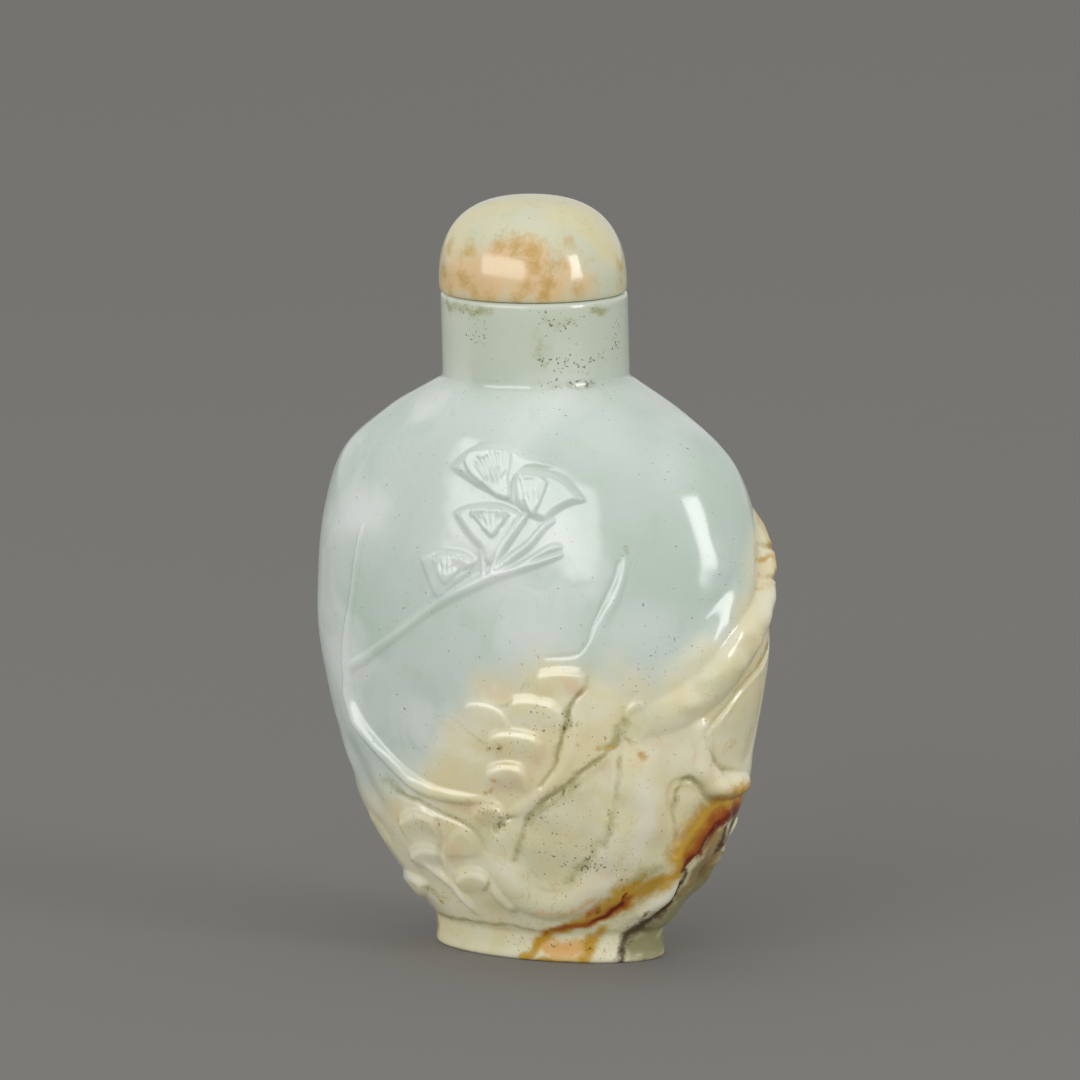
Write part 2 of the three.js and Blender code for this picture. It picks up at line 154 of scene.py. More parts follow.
def noise(points, scale, seed):
    """Slow random swells between -1 and 1, as a sum of waves that cross at fixed angles."""
    rng = np.random.default_rng(seed)
    total = np.zeros(len(points))
    waves = 7
    for _ in range(waves):
        direction = rng.normal(size=3)
        direction *= rng.uniform(0.7, 1.5) * 2 * math.pi / scale / np.linalg.norm(direction)
        total += np.sin(points @ direction + rng.uniform(0, 2 * math.pi))
    return total / math.sqrt(waves)


# ------------ the carving
# Paths over the wall, for ridges, grooves and stains, are points of (turn, height, half width,
# strength). A half width or strength that's left out is as at the point before.
# Ridges: their strength is their rise.
RIDGES = {
    "right_trunk": [(44, 23.9, 1.6, 0.2), (52, 24.6, 2.3, 0.55), (61, 26.1, 2.5, 0.8), (71, 28.3, 2.6, 1),
        (81.9, 31.1, 2.6, 1.2), (93.7, 33.4, 2.5, 1.25), (102.7, 35.4, 2.3), (106.8, 37.6, 2.1, 1.2),
        (108.5, 39.6, 1.6, 0.9), (109.2, 41.4, 0.9, 0.3)],
    "trunk_foot": [(65.5, 23.1, 1.3, 0.5), (68, 20.9, 1.2, 0.6), (69, 19, 1.2, 0.7), (77, 17.3, 1.4, 0.95),
        (89, 16.9, 1.4, 1.2), (97, 16.9, 1.2, 0.7)],
    "stem": [(41.2, 39.1, 0.35, 0.15), (40, 37.4, 0.5, 0.3), (37.7, 35.3, 0.6, 0.32),
        (34.8, 33.6, 0.8, 0.25), (33.4, 31.4, 1.2, 0.2), (34, 28.8, 1.9), (35.6, 26, 2.4, 0.28),
        (37, 23.6, 2.4, 0.25)],
    "left_trunk": [(-36, 40, 0.4, 0.25), (-36.7, 38, 0.55, 0.35), (-38.6, 33, 0.65, 0.4),
        (-41.5, 28.9, 0.9, 0.5), (-43, 26, 1.1, 0.6), (-44, 23.7, 1.1, 0.7), (-41, 21.8, 1.1, 0.8),
        (-35, 19.8, 1.05), (-27, 17.7), (-17, 16.3, 1.05, 0.75), (-6, 15.9, 0.9, 0.55), (3, 16, 0.6, 0.2)],
    "branch": [(-42.5, 26.5, 0.8, 0.35), (-32.3, 28.2, 0.7, 0.3), (-21.8, 30.5, 0.65),
        (-12.4, 33, 0.65, 0.33), (-6.5, 34.5, 0.7, 0.38), (0.5, 35.9, 0.75, 0.42), (6.5, 37),
        (13.1, 37.8, 0.6, 0.4), (18.4, 38.5, 0.5), (23.7, 39.2, 0.3, 0.3)],
    "left_twig": [(4, 36.8, 0.45, 0.35), (3.9, 38, 0.4), (3.3, 39.1, 0.35, 0.3)],
    "middle_twig": [(6.1, 37.3, 0.5, 0.4), (8.4, 39.3), (11.4, 40.9, 0.45), (14.7, 42.5, 0.4)],
    "right_twig": [(7.5, 37.6, 0.5, 0.4), (11.2, 38.8, 0.5, 0.42), (15.5, 40, 0.45), (19.6, 41.6, 0.4, 0.4),
        (22.1, 42.2, 0.3, 0.3)],
    "bud_twig": [(13.2, 38, 0.4, 0.35), (17.7, 39, 0.38, 0.4), (21.3, 39.7, 0.45, 0.45),
        (23.4, 39.9, 0.4, 0.3)],
    "root_ridge": [(27.6, 25.8, 0.7, 0.15), (26.8, 22.3, 0.9, 0.25), (24.2, 19.7, 0.9, 0.32),
        (19.5, 17.6, 0.9, 0.34), (13.9, 16, 0.95), (8.5, 14.8, 0.9, 0.3)],
    "hollow_rim": [(5.5, 13.2, 1.3, 0.3), (3.2, 11, 1.8, 0.45), (4, 8.6, 2, 0.55), (8.5, 6.7, 2, 0.6),
        (17.7, 5.8, 1.9), (28.3, 6.3, 1.8, 0.5), (37, 8, 1.6, 0.3)],
    "trunk_shoulder": [(50, 26.6, 2.6, 0.2), (60, 28.4, 2.8, 0.4), (70, 31, 2.8, 0.5), (79, 33.6, 2.6),
        (87, 36.2, 2.2, 0.4), (90, 38.4, 1.6, 0.2)],
    "diagonal": [(-31, 8.7, 0.7, 0.3), (-27.6, 7.9, 0.8, 0.35), (-23.5, 7.1, 0.8, 0.42),
        (-20.3, 6.1, 0.7, 0.35)],
    "bead": [(-21.5, 6.7, 0.7, 0.4), (-19.5, 5.9, 0.9, 0.6), (-17.2, 5.1, 0.8, 0.55),
        (-15.8, 4.4, 0.6, 0.3)],
    "low_blob": [(-3.2, 7.7, 0.9, 0.25), (-0.6, 6.7, 1.1, 0.45), (2.5, 5.7, 1.1, 0.5)],
    "right_rock": [(46, 19.8, 2.2, 0.3), (48.3, 16.4, 2.6, 0.45), (48.1, 12.5), (46, 9, 2.2, 0.3)],
    "right_leaf": [(63.6, 11.7, 0.9, 0.4), (68, 8.8, 1.2, 0.65), (69, 6.6, 1.3, 0.75), (64, 5, 1.2, 0.5)],
    "right_facet": [(87, 15.2, 1.2, 0.5), (87, 13, 1.5, 0.6), (91, 10.2, 1.5, 0.7), (97, 8.2, 1.4),
        (98, 6.6, 1, 0.3)],
    "back_trunk": [(121, 15.6, 1, 0.15), (126, 17.6, 1.9, 0.6), (133, 20.4, 2.3, 0.9), (145, 24.5, 2.1),
        (159, 30, 1.8, 0.8), (170, 35.5, 1.4, 0.7), (176, 40, 1, 0.4)],
    "back_branch": [(159, 30, 1.4, 0.6), (176, 32.5, 1.2, 0.5), (192, 36, 1, 0.4)],
}


# Pads: outlines on the wall with a rise (below zero for a hollow), the width of the sloping
# edge and how far the pad falls towards its foot.
PADS = {
    "upper_needles": (0.36, 1, 0, [(-8.6, 46.2), (-7.1, 47.2), (-3.6, 48.3), (3, 49.1), (10.5, 49.2),
        (16.7, 48.7), (22, 48.1), (27.1, 47), (23.6, 46.5), (16.2, 46.2), (12.9, 45), (12.8, 43.1),
        (7.4, 43.8), (2.2, 44.3), (-3.7, 45.2)]),
    "right_needles": (0.42, 0.9, 0, [(12, 46.8), (19.4, 47.1), (26.6, 46.5), (30.3, 45.3), (32.8, 43.9),
        (28, 43.4), (23.9, 42.7), (20.7, 41.8), (17.3, 42), (13.2, 42.8), (11, 44.1)]),
    "middle_needles": (0.36, 0.8, 0, [(-5.7, 42.3), (-3.8, 43), (-0.6, 43.5), (4.5, 43.8), (9.6, 43.7),
        (14.6, 42.8), (12.8, 41.1), (9.8, 39.4), (6.5, 37.7), (3.4, 38), (2.1, 39.1), (-0.4, 39.9),
        (-3.2, 41)]),
    "lower_needles": (0.36, 0.7, 0, [(-14.8, 37.9), (-13, 38.6), (-10, 39.1), (-5.6, 39.3), (-1.3, 39.2),
        (2.3, 38.5), (1.8, 37.6), (0, 36.6), (-3.4, 35.4), (-6.5, 34.3), (-9.4, 34.3), (-12.5, 36.2)]),
    "upper_blade": (0.52, 0.3, 0, [(-3.7, 46.9), (-3, 47.8), (-0.1, 48.2), (5.8, 48.4), (11.6, 48.4),
        (12.4, 47.8), (11.3, 45.9), (10.9, 44), (7.1, 44), (2.9, 44.9), (-1.6, 45.9)]),
    "right_blade": (0.56, 0.3, 0, [(13.4, 45.9), (15.5, 46.4), (19.5, 46.3), (22.1, 45.7), (21.6, 45),
        (19.5, 43.6), (17.3, 42.4), (15.6, 42.8), (14, 44.2)]),
    "middle_blade": (0.5, 0.3, 0, [(-0.4, 42.3), (0.2, 43), (3.9, 43.2), (10, 43.2), (10.2, 42.5),
        (9, 41.5), (6.3, 40.3), (3.8, 40.9), (1.1, 41.7)]),
    "lower_blade": (0.5, 0.3, 0, [(-10.9, 38.1), (-7.7, 38.7), (-4, 38.7), (1.3, 38.3), (1, 37.6),
        (-1.3, 37.1), (-3.8, 36.4), (-5.9, 35.7), (-7.9, 36.1), (-9.8, 37.3)]),
    "leaf_hollow": (-0.62, 1.1, 0, [(37.6, 21.1), (33.1, 20.1), (28.6, 19), (23.7, 17.4), (17.6, 15.9),
        (13.5, 14.4), (10.4, 12.6), (8.4, 10.6), (9.3, 8.8), (13.2, 7.7), (20.6, 7.4), (28.6, 8.1),
        (33.6, 9.6), (36.6, 11.8), (38.4, 14.5), (39, 17.7)]),
    "arch_hollow": (-0.5, 0.7, 0, [(62.5, 11), (59.5, 14), (56.7, 16.1), (57, 17.3), (59.7, 18),
        (63.8, 18.1), (67.9, 17.5), (71, 16.3), (75, 15.2), (72.6, 14), (69, 12.6), (65.9, 11)]),
    "side_panel": (-0.3, 1, 0, [(72.8, 21.4), (73.6, 24), (83.4, 26.8), (93.7, 28.1), (104, 25.3),
        (105, 22), (100, 18.6), (85, 18.7)]),
    "middle_boss": (0.42, 1.2, 0.15, [(-15.5, 12.2), (-10.3, 13.3), (-6.3, 13.1), (-3.8, 12), (-3, 10.7),
        (-5.7, 9.6), (-12, 9.2), (-19.3, 9.2), (-19.4, 10.6)]),
    "corner_boss": (0.6, 1.4, 0, [(-66, 7), (-54, 7.6), (-44, 7.6), (-36, 7.2), (-35, 6.2), (-43, 4.9),
        (-56, 3.9), (-66, 4), (-70, 5.6)]),
    "edge_boss": (0.3, 1.4, 0.1, [(-64, 12.6), (-55, 12.8), (-48, 12), (-45, 10.6), (-48, 9.2), (-56, 8.6),
        (-66, 8.6), (-71, 10.6)]),
}

# Scales that overlap like those of a cone: the rise, how far the body runs down below its arched
# top edge, and that edge from left to right.
SCALES = {
    "top": (0.42, 2.6, [(15.5, 27.8), (17, 28.8), (21, 29.3), (26, 29.4), (29.7, 29.2), (31.5, 28.3)]),
    "left": (0.34, 2.8, [(-4, 24.9), (-2, 25.7), (2, 26), (6, 25.8), (9, 25.1), (12, 23.6)]),
    "right": (0.45, 3, [(8.4, 25.5), (10, 26.3), (14, 26.7), (18, 26.6), (21.6, 26.3), (26, 25.2)]),
    "middle": (0.5, 3.1, [(1.6, 21.8), (4, 22.8), (8.7, 23.4), (13.6, 23.4), (17.2, 23.1), (20.6, 22.3)]),
    "low": (0.62, 3.1, [(0.6, 18.7), (3.2, 19.7), (6.7, 20.2), (10.4, 20.3), (13, 20), (15.4, 18.9)]),
    "lowest": (0.62, 2.2, [(-6, 14.9), (-2.6, 15.8), (1.2, 16.3), (4.2, 16.2), (6.4, 15.7), (8, 14.6)]),
    "small": (0.12, 1.6, [(-6.5, 22.4), (-3.6, 22.9), (-0.6, 22.6), (2, 21.4)]),
    "left_boss": (0.6, 2.4, [(-36, 13), (-28, 14.3), (-22.2, 14.6), (-17.7, 14.2), (-14.4, 13)]),
    "left_middle_boss": (0.5, 1.9, [(-40, 9.6), (-31, 10.8), (-24, 11.1), (-20, 10.7), (-17.8, 9.6)]),
    "low_boss": (0.58, 2.2, [(-21, 8), (-14.7, 9), (-9, 9.4), (-4, 9.2), (-1, 8.4)]),
    "back_edge": (0.6, 3, [(109, 11.6), (113, 13.4), (119, 14.4), (127, 14.6), (134, 13.8), (138, 12.2)]),
    "back_middle": (0.65, 3.4, [(136, 14.2), (140, 16.2), (147, 17.2), (155, 17.2), (161, 16.2),
        (165, 14.4)]),
    "back_far": (0.6, 3.2, [(171, 13), (175, 15), (182, 16), (191, 15.9), (198, 14.8), (202, 13)]),
    "back_end": (0.55, 3, [(207, 11.2), (211, 12.8), (218, 13.6), (227, 13.4), (233, 12.4), (237, 10.8)]),
    "back_low": (0.55, 2.4, [(122, 7.8), (127, 9.4), (135, 10.2), (144, 10.1), (150, 9.2), (154, 7.8)]),
    "back_low_middle": (0.6, 2.4, [(154, 8.4), (159, 10), (167, 10.8), (177, 10.6), (183, 9.6), (187, 8)]),
    "back_low_far": (0.55, 2.4, [(190, 7.8), (195, 9.2), (203, 9.9), (213, 9.6), (219, 8.6), (223, 7.2)]),
    "back_low_end": (0.5, 2.2, [(229, 7), (234, 8.2), (242, 8.8), (252, 8.5), (258, 7.6), (262, 6.6)]),
    "finger": (0.42, 1.5, [(39.6, 25.2), (41.6, 26.3), (44.6, 26.8), (47, 26.2)]),
    "lower_finger": (0.36, 1.5, [(44.6, 22.8), (46.4, 24.2), (49.6, 24.9), (53, 24.6)]),
}

# Grooves, cut after everything else: their strength is their depth.
GROOVES = {
    "root_side": [(30.1, 27.1, 0.3, 0.12), (26.6, 25.7, 0.35, 0.25), (25, 23.8), (23.4, 21.6),
        (21.7, 19.6, 0.3, 0.2), (17.7, 17.6, 0.3, 0.15)],
    "leaf_edge": [(36, 21, 0.3, 0.12), (29.3, 19.2, 0.35, 0.22), (24.2, 17.6), (17.3, 16),
        (13.1, 14.5, 0.35, 0.18), (10, 12.6, 0.3, 0.1)],
    "leaf_seam": [(40, 22, 0.35, 0.12), (39.8, 19.4, 0.4, 0.18), (39.1, 16.9, 0.4, 0.14),
        (38.1, 14.3, 0.35, 0.08)],
    "below_left_trunk": [(-29.4, 15.3, 0.35, 0.12), (-22.4, 14.9, 0.4, 0.2), (-16.5, 14.1, 0.4, 0.25),
        (-11.3, 13.6), (-7, 13.2), (-3.6, 12.2), (-2.6, 10.8, 0.35, 0.15)],
    "boss_seam": [(-16.9, 13.2, 0.35, 0.2), (-17.6, 11.5, 0.35, 0.22), (-20.6, 10), (-23.5, 8.4, 0.35, 0.2),
        (-23, 7.6, 0.3, 0.12)],
    "small_arch": [(3, 12.7, 0.3, 0.2), (4, 13.5, 0.35, 0.25), (6, 14.2), (9.1, 14.4, 0.3, 0.15)],
    "arch_side": [(63, 11.1, 0.35, 0.12), (59.5, 14.2, 0.4, 0.22), (56.3, 16.2, 0.4, 0.25), (56.6, 17.6),
        (59.4, 18.2), (63.6, 18.2), (67.9, 17.6), (71.9, 16.3, 0.4, 0.2), (77, 15.5, 0.35, 0.15)],
    "trunk_below": [(66.9, 22.8, 0.4, 0.1), (73.2, 24.3, 0.45, 0.25), (83.3, 26.7, 0.45, 0.3), (96.2, 28.2),
        (105, 29.5, 0.4, 0.25), (105.3, 31.9, 0.4, 0.2)],
    "panel_side": [(66.5, 22.5, 0.35, 0.1), (70.5, 20.8, 0.35, 0.18), (77, 19, 0.35, 0.2),
        (85.9, 18.4, 0.35, 0.12)],
    "upper_knot": [(98.1, 39, 0.3, 0.2), (103.3, 38.6, 0.35, 0.35), (108.7, 38.1), (102.7, 38.6, 0.3, 0.2)],
    "lower_knot": [(91.4, 36.5, 0.3, 0.12), (99.5, 35.9, 0.35, 0.25), (108.4, 35.4),
        (102.8, 36.2, 0.3, 0.15)],
    "facet_step": [(80.7, 13.6, 0.35, 0.15), (77.8, 11.3, 0.4, 0.25), (73.4, 9.2, 0.4, 0.3), (73.8, 7.4),
        (74, 5.6, 0.4, 0.25), (70.6, 4.2, 0.4, 0.2), (64, 3.2, 0.35, 0.1)],
    "facet_line": [(95.1, 12.3, 0.3, 0.12), (89.8, 11, 0.35, 0.25), (87, 9.5), (90, 7.6, 0.3, 0.12)],
    "stem_side": [(38.9, 38.6, 0.3, 0.08), (37.3, 36.9, 0.35, 0.14), (34.8, 35.1, 0.35, 0.16),
        (31.9, 33, 0.3, 0.14), (30.3, 31.4, 0.3, 0.1), (27.2, 30.2), (20, 29.9, 0.3, 0.06)],
}

# Fans of needles: the place they spring from, their length, the directions of the first and
# last needle in degrees from straight up, and their number.
FANS = {
    "upper_fan": (9, 43.7, 4.7, -43, 14, 10),
    "right_fan": (17.1, 42.3, 3.9, -20, 27, 8),
    "middle_fan": (6.3, 40.2, 3.1, -46, 34, 10),
    "lower_fan": (-5.9, 35.7, 3.2, -34, 50, 11),
}


def ridge_profile(away):
    """The rounded section of a ridge, from its middle to its edge."""
    return np.clip(1 - away * away, 0, 1) ** 1.2


def segment_place(points, start, end):
    """How far along a segment each point lies, from 0 to 1, and its distance from the segment."""
    along = end - start
    share = np.clip((points - start) @ along / (along @ along + 1e-9), 0, 1)
    return share, np.linalg.norm(points - start - share[:, None] * along, axis=1)


def full_path(path):
    """The path with every value given. One left out is as at the point before, and 1 at the start."""
    rows = [(0, 0, 1, 1)]
    for point in path:
        rows.append(point + rows[-1][len(point):])
    return rows[1:]


def path_rise(points, path, steps=6, profile=ridge_profile):
    """How high a ridge stands over each wall point, or how deep a groove is cut there."""
    path = spline(full_path(path), steps)
    places = wall_point(path[:, 0], path[:, 1])
    halves, rises = np.maximum(path[:, 2], 0.1), path[:, 3]
    reach = halves.max() + 0.2
    near = np.flatnonzero(((points > places.min(0) - reach) & (points < places.max(0) + reach)).all(1))
    best = np.zeros(len(near))
    spot = points[near]
    for start, end, half_a, half_b, rise_a, rise_b in zip(
            places[:-1], places[1:], halves[:-1], halves[1:], rises[:-1], rises[1:]):
        share, distance = segment_place(spot, start, end)
        half = half_a + (half_b - half_a) * share
        rise = rise_a + (rise_b - rise_a) * share
        best = np.maximum(best, rise * profile(distance / half))
    result = np.zeros(len(points))
    result[near] = best
    return result


def pad_inset(points, turns, heights, outline, steps=5):
    """How far each wall point lies inside an outline, 0 outside it."""
    loop = spline(outline, steps, closed=True)
    rim = wall_point(loop[:, 0], loop[:, 1])
    near = np.flatnonzero((turns > loop[:, 0].min()) & (turns < loop[:, 0].max())
                          & (heights > loop[:, 1].min()) & (heights < loop[:, 1].max()))
    inside = np.zeros(len(near), bool)
    turn, height, spot = turns[near], heights[near], points[near]
    distance = np.full(len(near), 1e9)
    for index in range(len(loop)):
        here, following = loop[index], loop[(index + 1) % len(loop)]
        crosses = (here[1] > height) != (following[1] > height)
        slope = (following[0] - here[0]) / (following[1] - here[1] + 1e-12)
        inside ^= crosses & (turn < here[0] + slope * (height - here[1]))
        distance = np.minimum(distance, segment_place(spot, rim[index], rim[(index + 1) % len(loop)])[1])
    result = np.zeros(len(points))
    result[near] = np.where(inside, distance, 0)
    return result


def local_place(turns, heights, turn, height):
    """Millimetres across and up the wall from a place on it."""
    angle = math.radians(turn)
    width, depth = wall_size(height)
    run = math.hypot(width * math.cos(angle), depth * math.sin(angle))
    return np.radians(turns - turn) * run, heights - height


def scale_rise(turns, heights, rise, length, edge):
    """One overlapping scale: two steps up below its top edge, then a slope that runs out downwards."""
    edge = spline(edge, 6)
    turn, height = edge[len(edge) // 2]
    across, up = local_place(turns, heights, turn, height)
    edge_across, edge_up = local_place(edge[:, 0], edge[:, 1], turn, height)
    depth = np.interp(across, edge_across, edge_up) - up
    share = (across - edge_across[0]) / (edge_across[-1] - edge_across[0])
    steps = 0.5 * bevel(depth, 0, 0.5) + 0.5 * bevel(depth, 0.62, 1.15)
    slope = 1 - smoothstep(depth, 0.7, length + 1.6)
    ends = smoothstep(share, 0, 0.2) * (1 - smoothstep(share, 0.8, 1))
    return rise * steps * slope * ends


def fan_lines(turns, heights, fan):
    """The depth of the incised needles of one fan."""
    turn0, height0, length, first, last, count = fan
    across, up = local_place(turns, heights, turn0, height0)
    reach = np.hypot(across, up)
    heading = np.degrees(np.arctan2(across, up))
    spacing = (last - first) / (count - 1)
    needle = np.clip(np.round((heading - first) / spacing), 0, count - 1)
    start = length * (0.45 + 0.16 * np.sin(needle * 2.7))
    stop = length * (0.97 + 0.05 * np.sin(needle * 1.9))
    off_line = np.radians(np.abs(heading - first - needle * spacing)) * reach
    ends = smoothstep(reach, start, start + 0.6) * (1 - smoothstep(reach, stop - 0.25, stop))
    return 0.13 * np.clip(1 - off_line / 0.19, 0, 1) * ends


def carve(points, turns, heights):
    """How far the carved surface stands out from the plain wall."""
    raised = np.zeros(len(points))
    hollow = np.zeros(len(points))
    cuts = np.zeros(len(points))
    for rise, length, edge in SCALES.values():
        raised = soft_max(raised, scale_rise(turns, heights, rise, length, edge), blend=0.06)
    for path in RIDGES.values():
        raised = soft_max(raised, path_rise(points, path), blend=0.15)
    for rise, edge, fall, outline in PADS.values():
        inset = pad_inset(points, turns, heights, outline)
        low, high = min(h for _, h in outline), max(h for _, h in outline)
        level = abs(rise) - fall * (1 - (heights - low) / (high - low))
        body = np.where(inset > 0, level * smoothstep(inset, 0, edge), 0)
        if rise > 0:
            raised = soft_max(raised, body, blend=0.08)
        else:
            hollow = np.maximum(hollow, body)
    for path in GROOVES.values():
        cuts = np.maximum(cuts, path_rise(points, path))
    for fan in FANS.values():
        cuts = np.maximum(cuts, fan_lines(turns, heights, fan))
    # The polisher's soft swells: strongest low on the wall and on the high relief.
    low_wall = 1 - smoothstep(heights, 14, 27)
    swell = low_wall * (0.17 * noise(points, 9, 3) + 0.08 * noise(points, 4, 4)) + 0.02 * noise(points, 7, 5)
    swell += 0.09 * noise(points, 3.0, 6) * smoothstep(raised, 0.35, 0.9)
    # Foot and neck stay plain.
    fade = smoothstep(heights, FOOT_HEIGHT, FOOT_HEIGHT + 0.9)
    fade *= 1 - smoothstep(heights, 50, SHOULDER_HEIGHT)
    return fade * (raised - hollow * np.where(raised > 0.1, 0.4, 1) - cuts + swell)


# ------------ the dense bottle mesh
COARSE_SIDES = 250
BODY_ROWS = 186
FINE_LIMIT = 10000  # how many coarse cells are split in four where the carving is sharpest


def spread(edges, weights, count):
    """Places between the edges, crowded where the weights are high."""
    places = np.linspace(*edges, 4001)
    density = np.cumsum(weights(places))
    density = (density - density[0]) / (density[-1] - density[0])
    return np.interp(np.arange(count) / count, density, places)


def front_density(turn):
    """How closely the columns stand: evenly along the wall, and closer on the carved front."""
    front = smoothstep(turn, -88, -72) * (1 - smoothstep(turn, 108, 124))
    angle = np.radians(turn)
    run = np.hypot(BELLY_HALF_WIDTH * np.cos(angle), BELLY_HALF_DEPTH * np.sin(angle))
    return run * (0.35 + 0.65 * front)


def ring(turns, half_width, half_depth, height):
    """A level oval of points around the leaning axis."""
    angle = np.radians(turns)
    return np.stack([axis_shift(height) + half_width * np.sin(angle), -half_depth * np.cos(angle),
                     np.full(len(turns), float(height))], axis=1)


QUARTER_TURN = np.linspace(0, math.pi / 2, 5)


def foot_rings(turns):
    """Rings of points from the middle of the foot's underside to the top of the foot's wall."""
    inner_width, inner_depth = FOOT_HALF_WIDTH - FOOT_RING_WIDTH, FOOT_HALF_DEPTH - FOOT_RING_WIDTH
    rings = [ring(turns, inner_width * share, inner_depth * share, FOOT_RECESS)
             for share in (0.02, 0.35, 0.7, 0.94)]
    # The rest as distances in from the foot's outline, and heights.
    insets = [(FOOT_RING_WIDTH, FOOT_RECESS - 0.25), (FOOT_RING_WIDTH, 0.15), (FOOT_RING_WIDTH - 0.15, 0)]
    insets += [(EDGE_ROUND * (1 - math.sin(climb)), EDGE_ROUND * (1 - math.cos(climb)))
               for climb in QUARTER_TURN]
    insets += [(0.12 * math.sin(math.pi * share), EDGE_ROUND + (FOOT_HEIGHT - EDGE_ROUND) * share)
               for share in np.linspace(0.12, 0.96, 8)]
    return rings + [ring(turns, FOOT_HALF_WIDTH - inset, FOOT_HALF_DEPTH - inset, height)
                    for inset, height in insets]


def neck_and_cavity_rings(turns):
    """Rings of points up the neck, over the mouth and down the bore to the cavity's floor."""
    neck_top = MOUTH_HEIGHT - EDGE_ROUND
    circles = [(NECK_RADIUS, SHOULDER_HEIGHT + (neck_top - SHOULDER_HEIGHT) * share)
               for share in np.linspace(0.03, 0.96, 24)]
    circles += [(NECK_RADIUS - EDGE_ROUND * (1 - math.cos(climb)),
                 MOUTH_HEIGHT - EDGE_ROUND * (1 - math.sin(climb))) for climb in QUARTER_TURN]
    circles += [(BORE_RADIUS + BORE_CHAMFER, MOUTH_HEIGHT), (BORE_RADIUS, MOUTH_HEIGHT - BORE_CHAMFER),
                (BORE_RADIUS, CAVITY_TOP + 1)]
    rings = [ring(turns, radius, radius, height) for radius, height in circles]
    for height in np.linspace(CAVITY_TOP, CAVITY_FLOOR, 9):
        width, depth = wall_size(height)
        rings.append(ring(turns, width - WALL, depth - WALL, height))
    rings.append(ring(turns, (width - WALL) * 0.6, (depth - WALL) * 0.6, CAVITY_FLOOR - 0.4))
    return rings


def carved_wall():
    """The turns and heights of the fine grid, its carved points, and which coarse cells are split."""
    fine_sides, fine_rows = COARSE_SIDES * 2, BODY_ROWS * 2
    turns = spread((-90, 270), front_density, fine_sides)
    lengths = np.concatenate([[0], np.cumsum(np.linalg.norm(np.diff(OUTLINE, axis=0), axis=1))])
    share = np.linspace(0.004, 0.996, fine_rows + 1) * lengths[-1]
    body_heights = np.interp(share, lengths, OUTLINE[:, 0])
    turn_grid, height_grid = np.meshgrid(turns, body_heights)
    flat_turn, flat_height = turn_grid.ravel(), height_grid.ravel()
    plain = wall_point(flat_turn, flat_height)
    rise = carve(plain, flat_turn, flat_height)
    body = plain + wall_normal(flat_turn, flat_height) * rise[:, None]

    # The coarse cells that carry the sharpest carving.
    relief = rise.reshape(fine_rows + 1, fine_sides)
    bend = np.abs(np.roll(relief, 1, 1) + np.roll(relief, -1, 1) - 2 * relief)
    bend[1:-1] += np.abs(relief[2:] + relief[:-2] - 2 * relief[1:-1])
    cell_bend = np.zeros((BODY_ROWS, COARSE_SIDES))
    for row in range(3):
        for column in range(3):
            rows = slice(row, row + 2 * BODY_ROWS - 1, 2)
            cell_bend = np.maximum(cell_bend, np.roll(bend, -column, 1)[rows, ::2])
    limit = np.sort(cell_bend.ravel())[-FINE_LIMIT]
    fine = cell_bend >= max(limit, 1e-4)
    fine[0] = fine[-1] = False
    return turns, body_heights, body, fine


def build_faces(fine):
    """Faces of the wall in vertex numbers of the fine grid, where coarse and split cells meet cleanly."""
    fine_sides = COARSE_SIDES * 2

    def number(row, column):
        return int(row * fine_sides + column % fine_sides)

    faces = []
    for row, column in np.argwhere(fine) * 2:
        for r, c in ((row, column), (row, column + 1), (row + 1, column), (row + 1, column + 1)):
            faces.append([number(r, c), number(r, c + 1), number(r + 1, c + 1), number(r + 1, c)])
    # The corners of a coarse cell in turn, each with the middle of the side that follows it and the
    # cells across that side. The middle is a corner too where that cell is split.
    no_cells = np.zeros((1, COARSE_SIDES), bool)
    below, above = np.vstack([no_cells, fine[:-1]]), np.vstack([fine[1:], no_cells])
    left, right = np.roll(fine, 1, 1), np.roll(fine, -1, 1)
    corners = [((0, 0), (0, 1), below), ((0, 2), (1, 2), right),
               ((2, 2), (2, 1), above), ((2, 0), (1, 0), left)]
    for row, column in np.argwhere(~fine):
        face = []
        for corner, side_middle, neighbours in corners:
            face.append(number(2 * row + corner[0], 2 * column + corner[1]))
            if neighbours[row, column]:
                face.append(number(2 * row + side_middle[0], 2 * column + side_middle[1]))
        faces.append(face)
    return faces


def ring_faces(lower, upper):
    """Four-sided faces between two rings of vertex numbers."""
    count = len(lower)
    return [[lower[i], lower[(i + 1) % count], upper[(i + 1) % count], upper[i]] for i in range(count)]


# ------------ colour masks on the wall
# The cream stone begins below this height at each turn.
CREAM_LINE = [
    (-90, 14), (-66, 14), (-53, 14.6), (-40, 15.5), (-30, 17), (-18, 19.5), (-8.6, 22.2), (-4.6, 25),
    (0, 27.2), (10, 28.6), (17.9, 30), (26.9, 30.6), (34, 29.7), (42, 28.6), (50, 28.3), (59, 29.6),
    (68.8, 32), (77.6, 34.6), (89.2, 38), (98.7, 42.1), (109.5, 42.1), (120, 36), (140, 27), (170, 22),
    (210, 20), (240, 17), (270, 14),
]

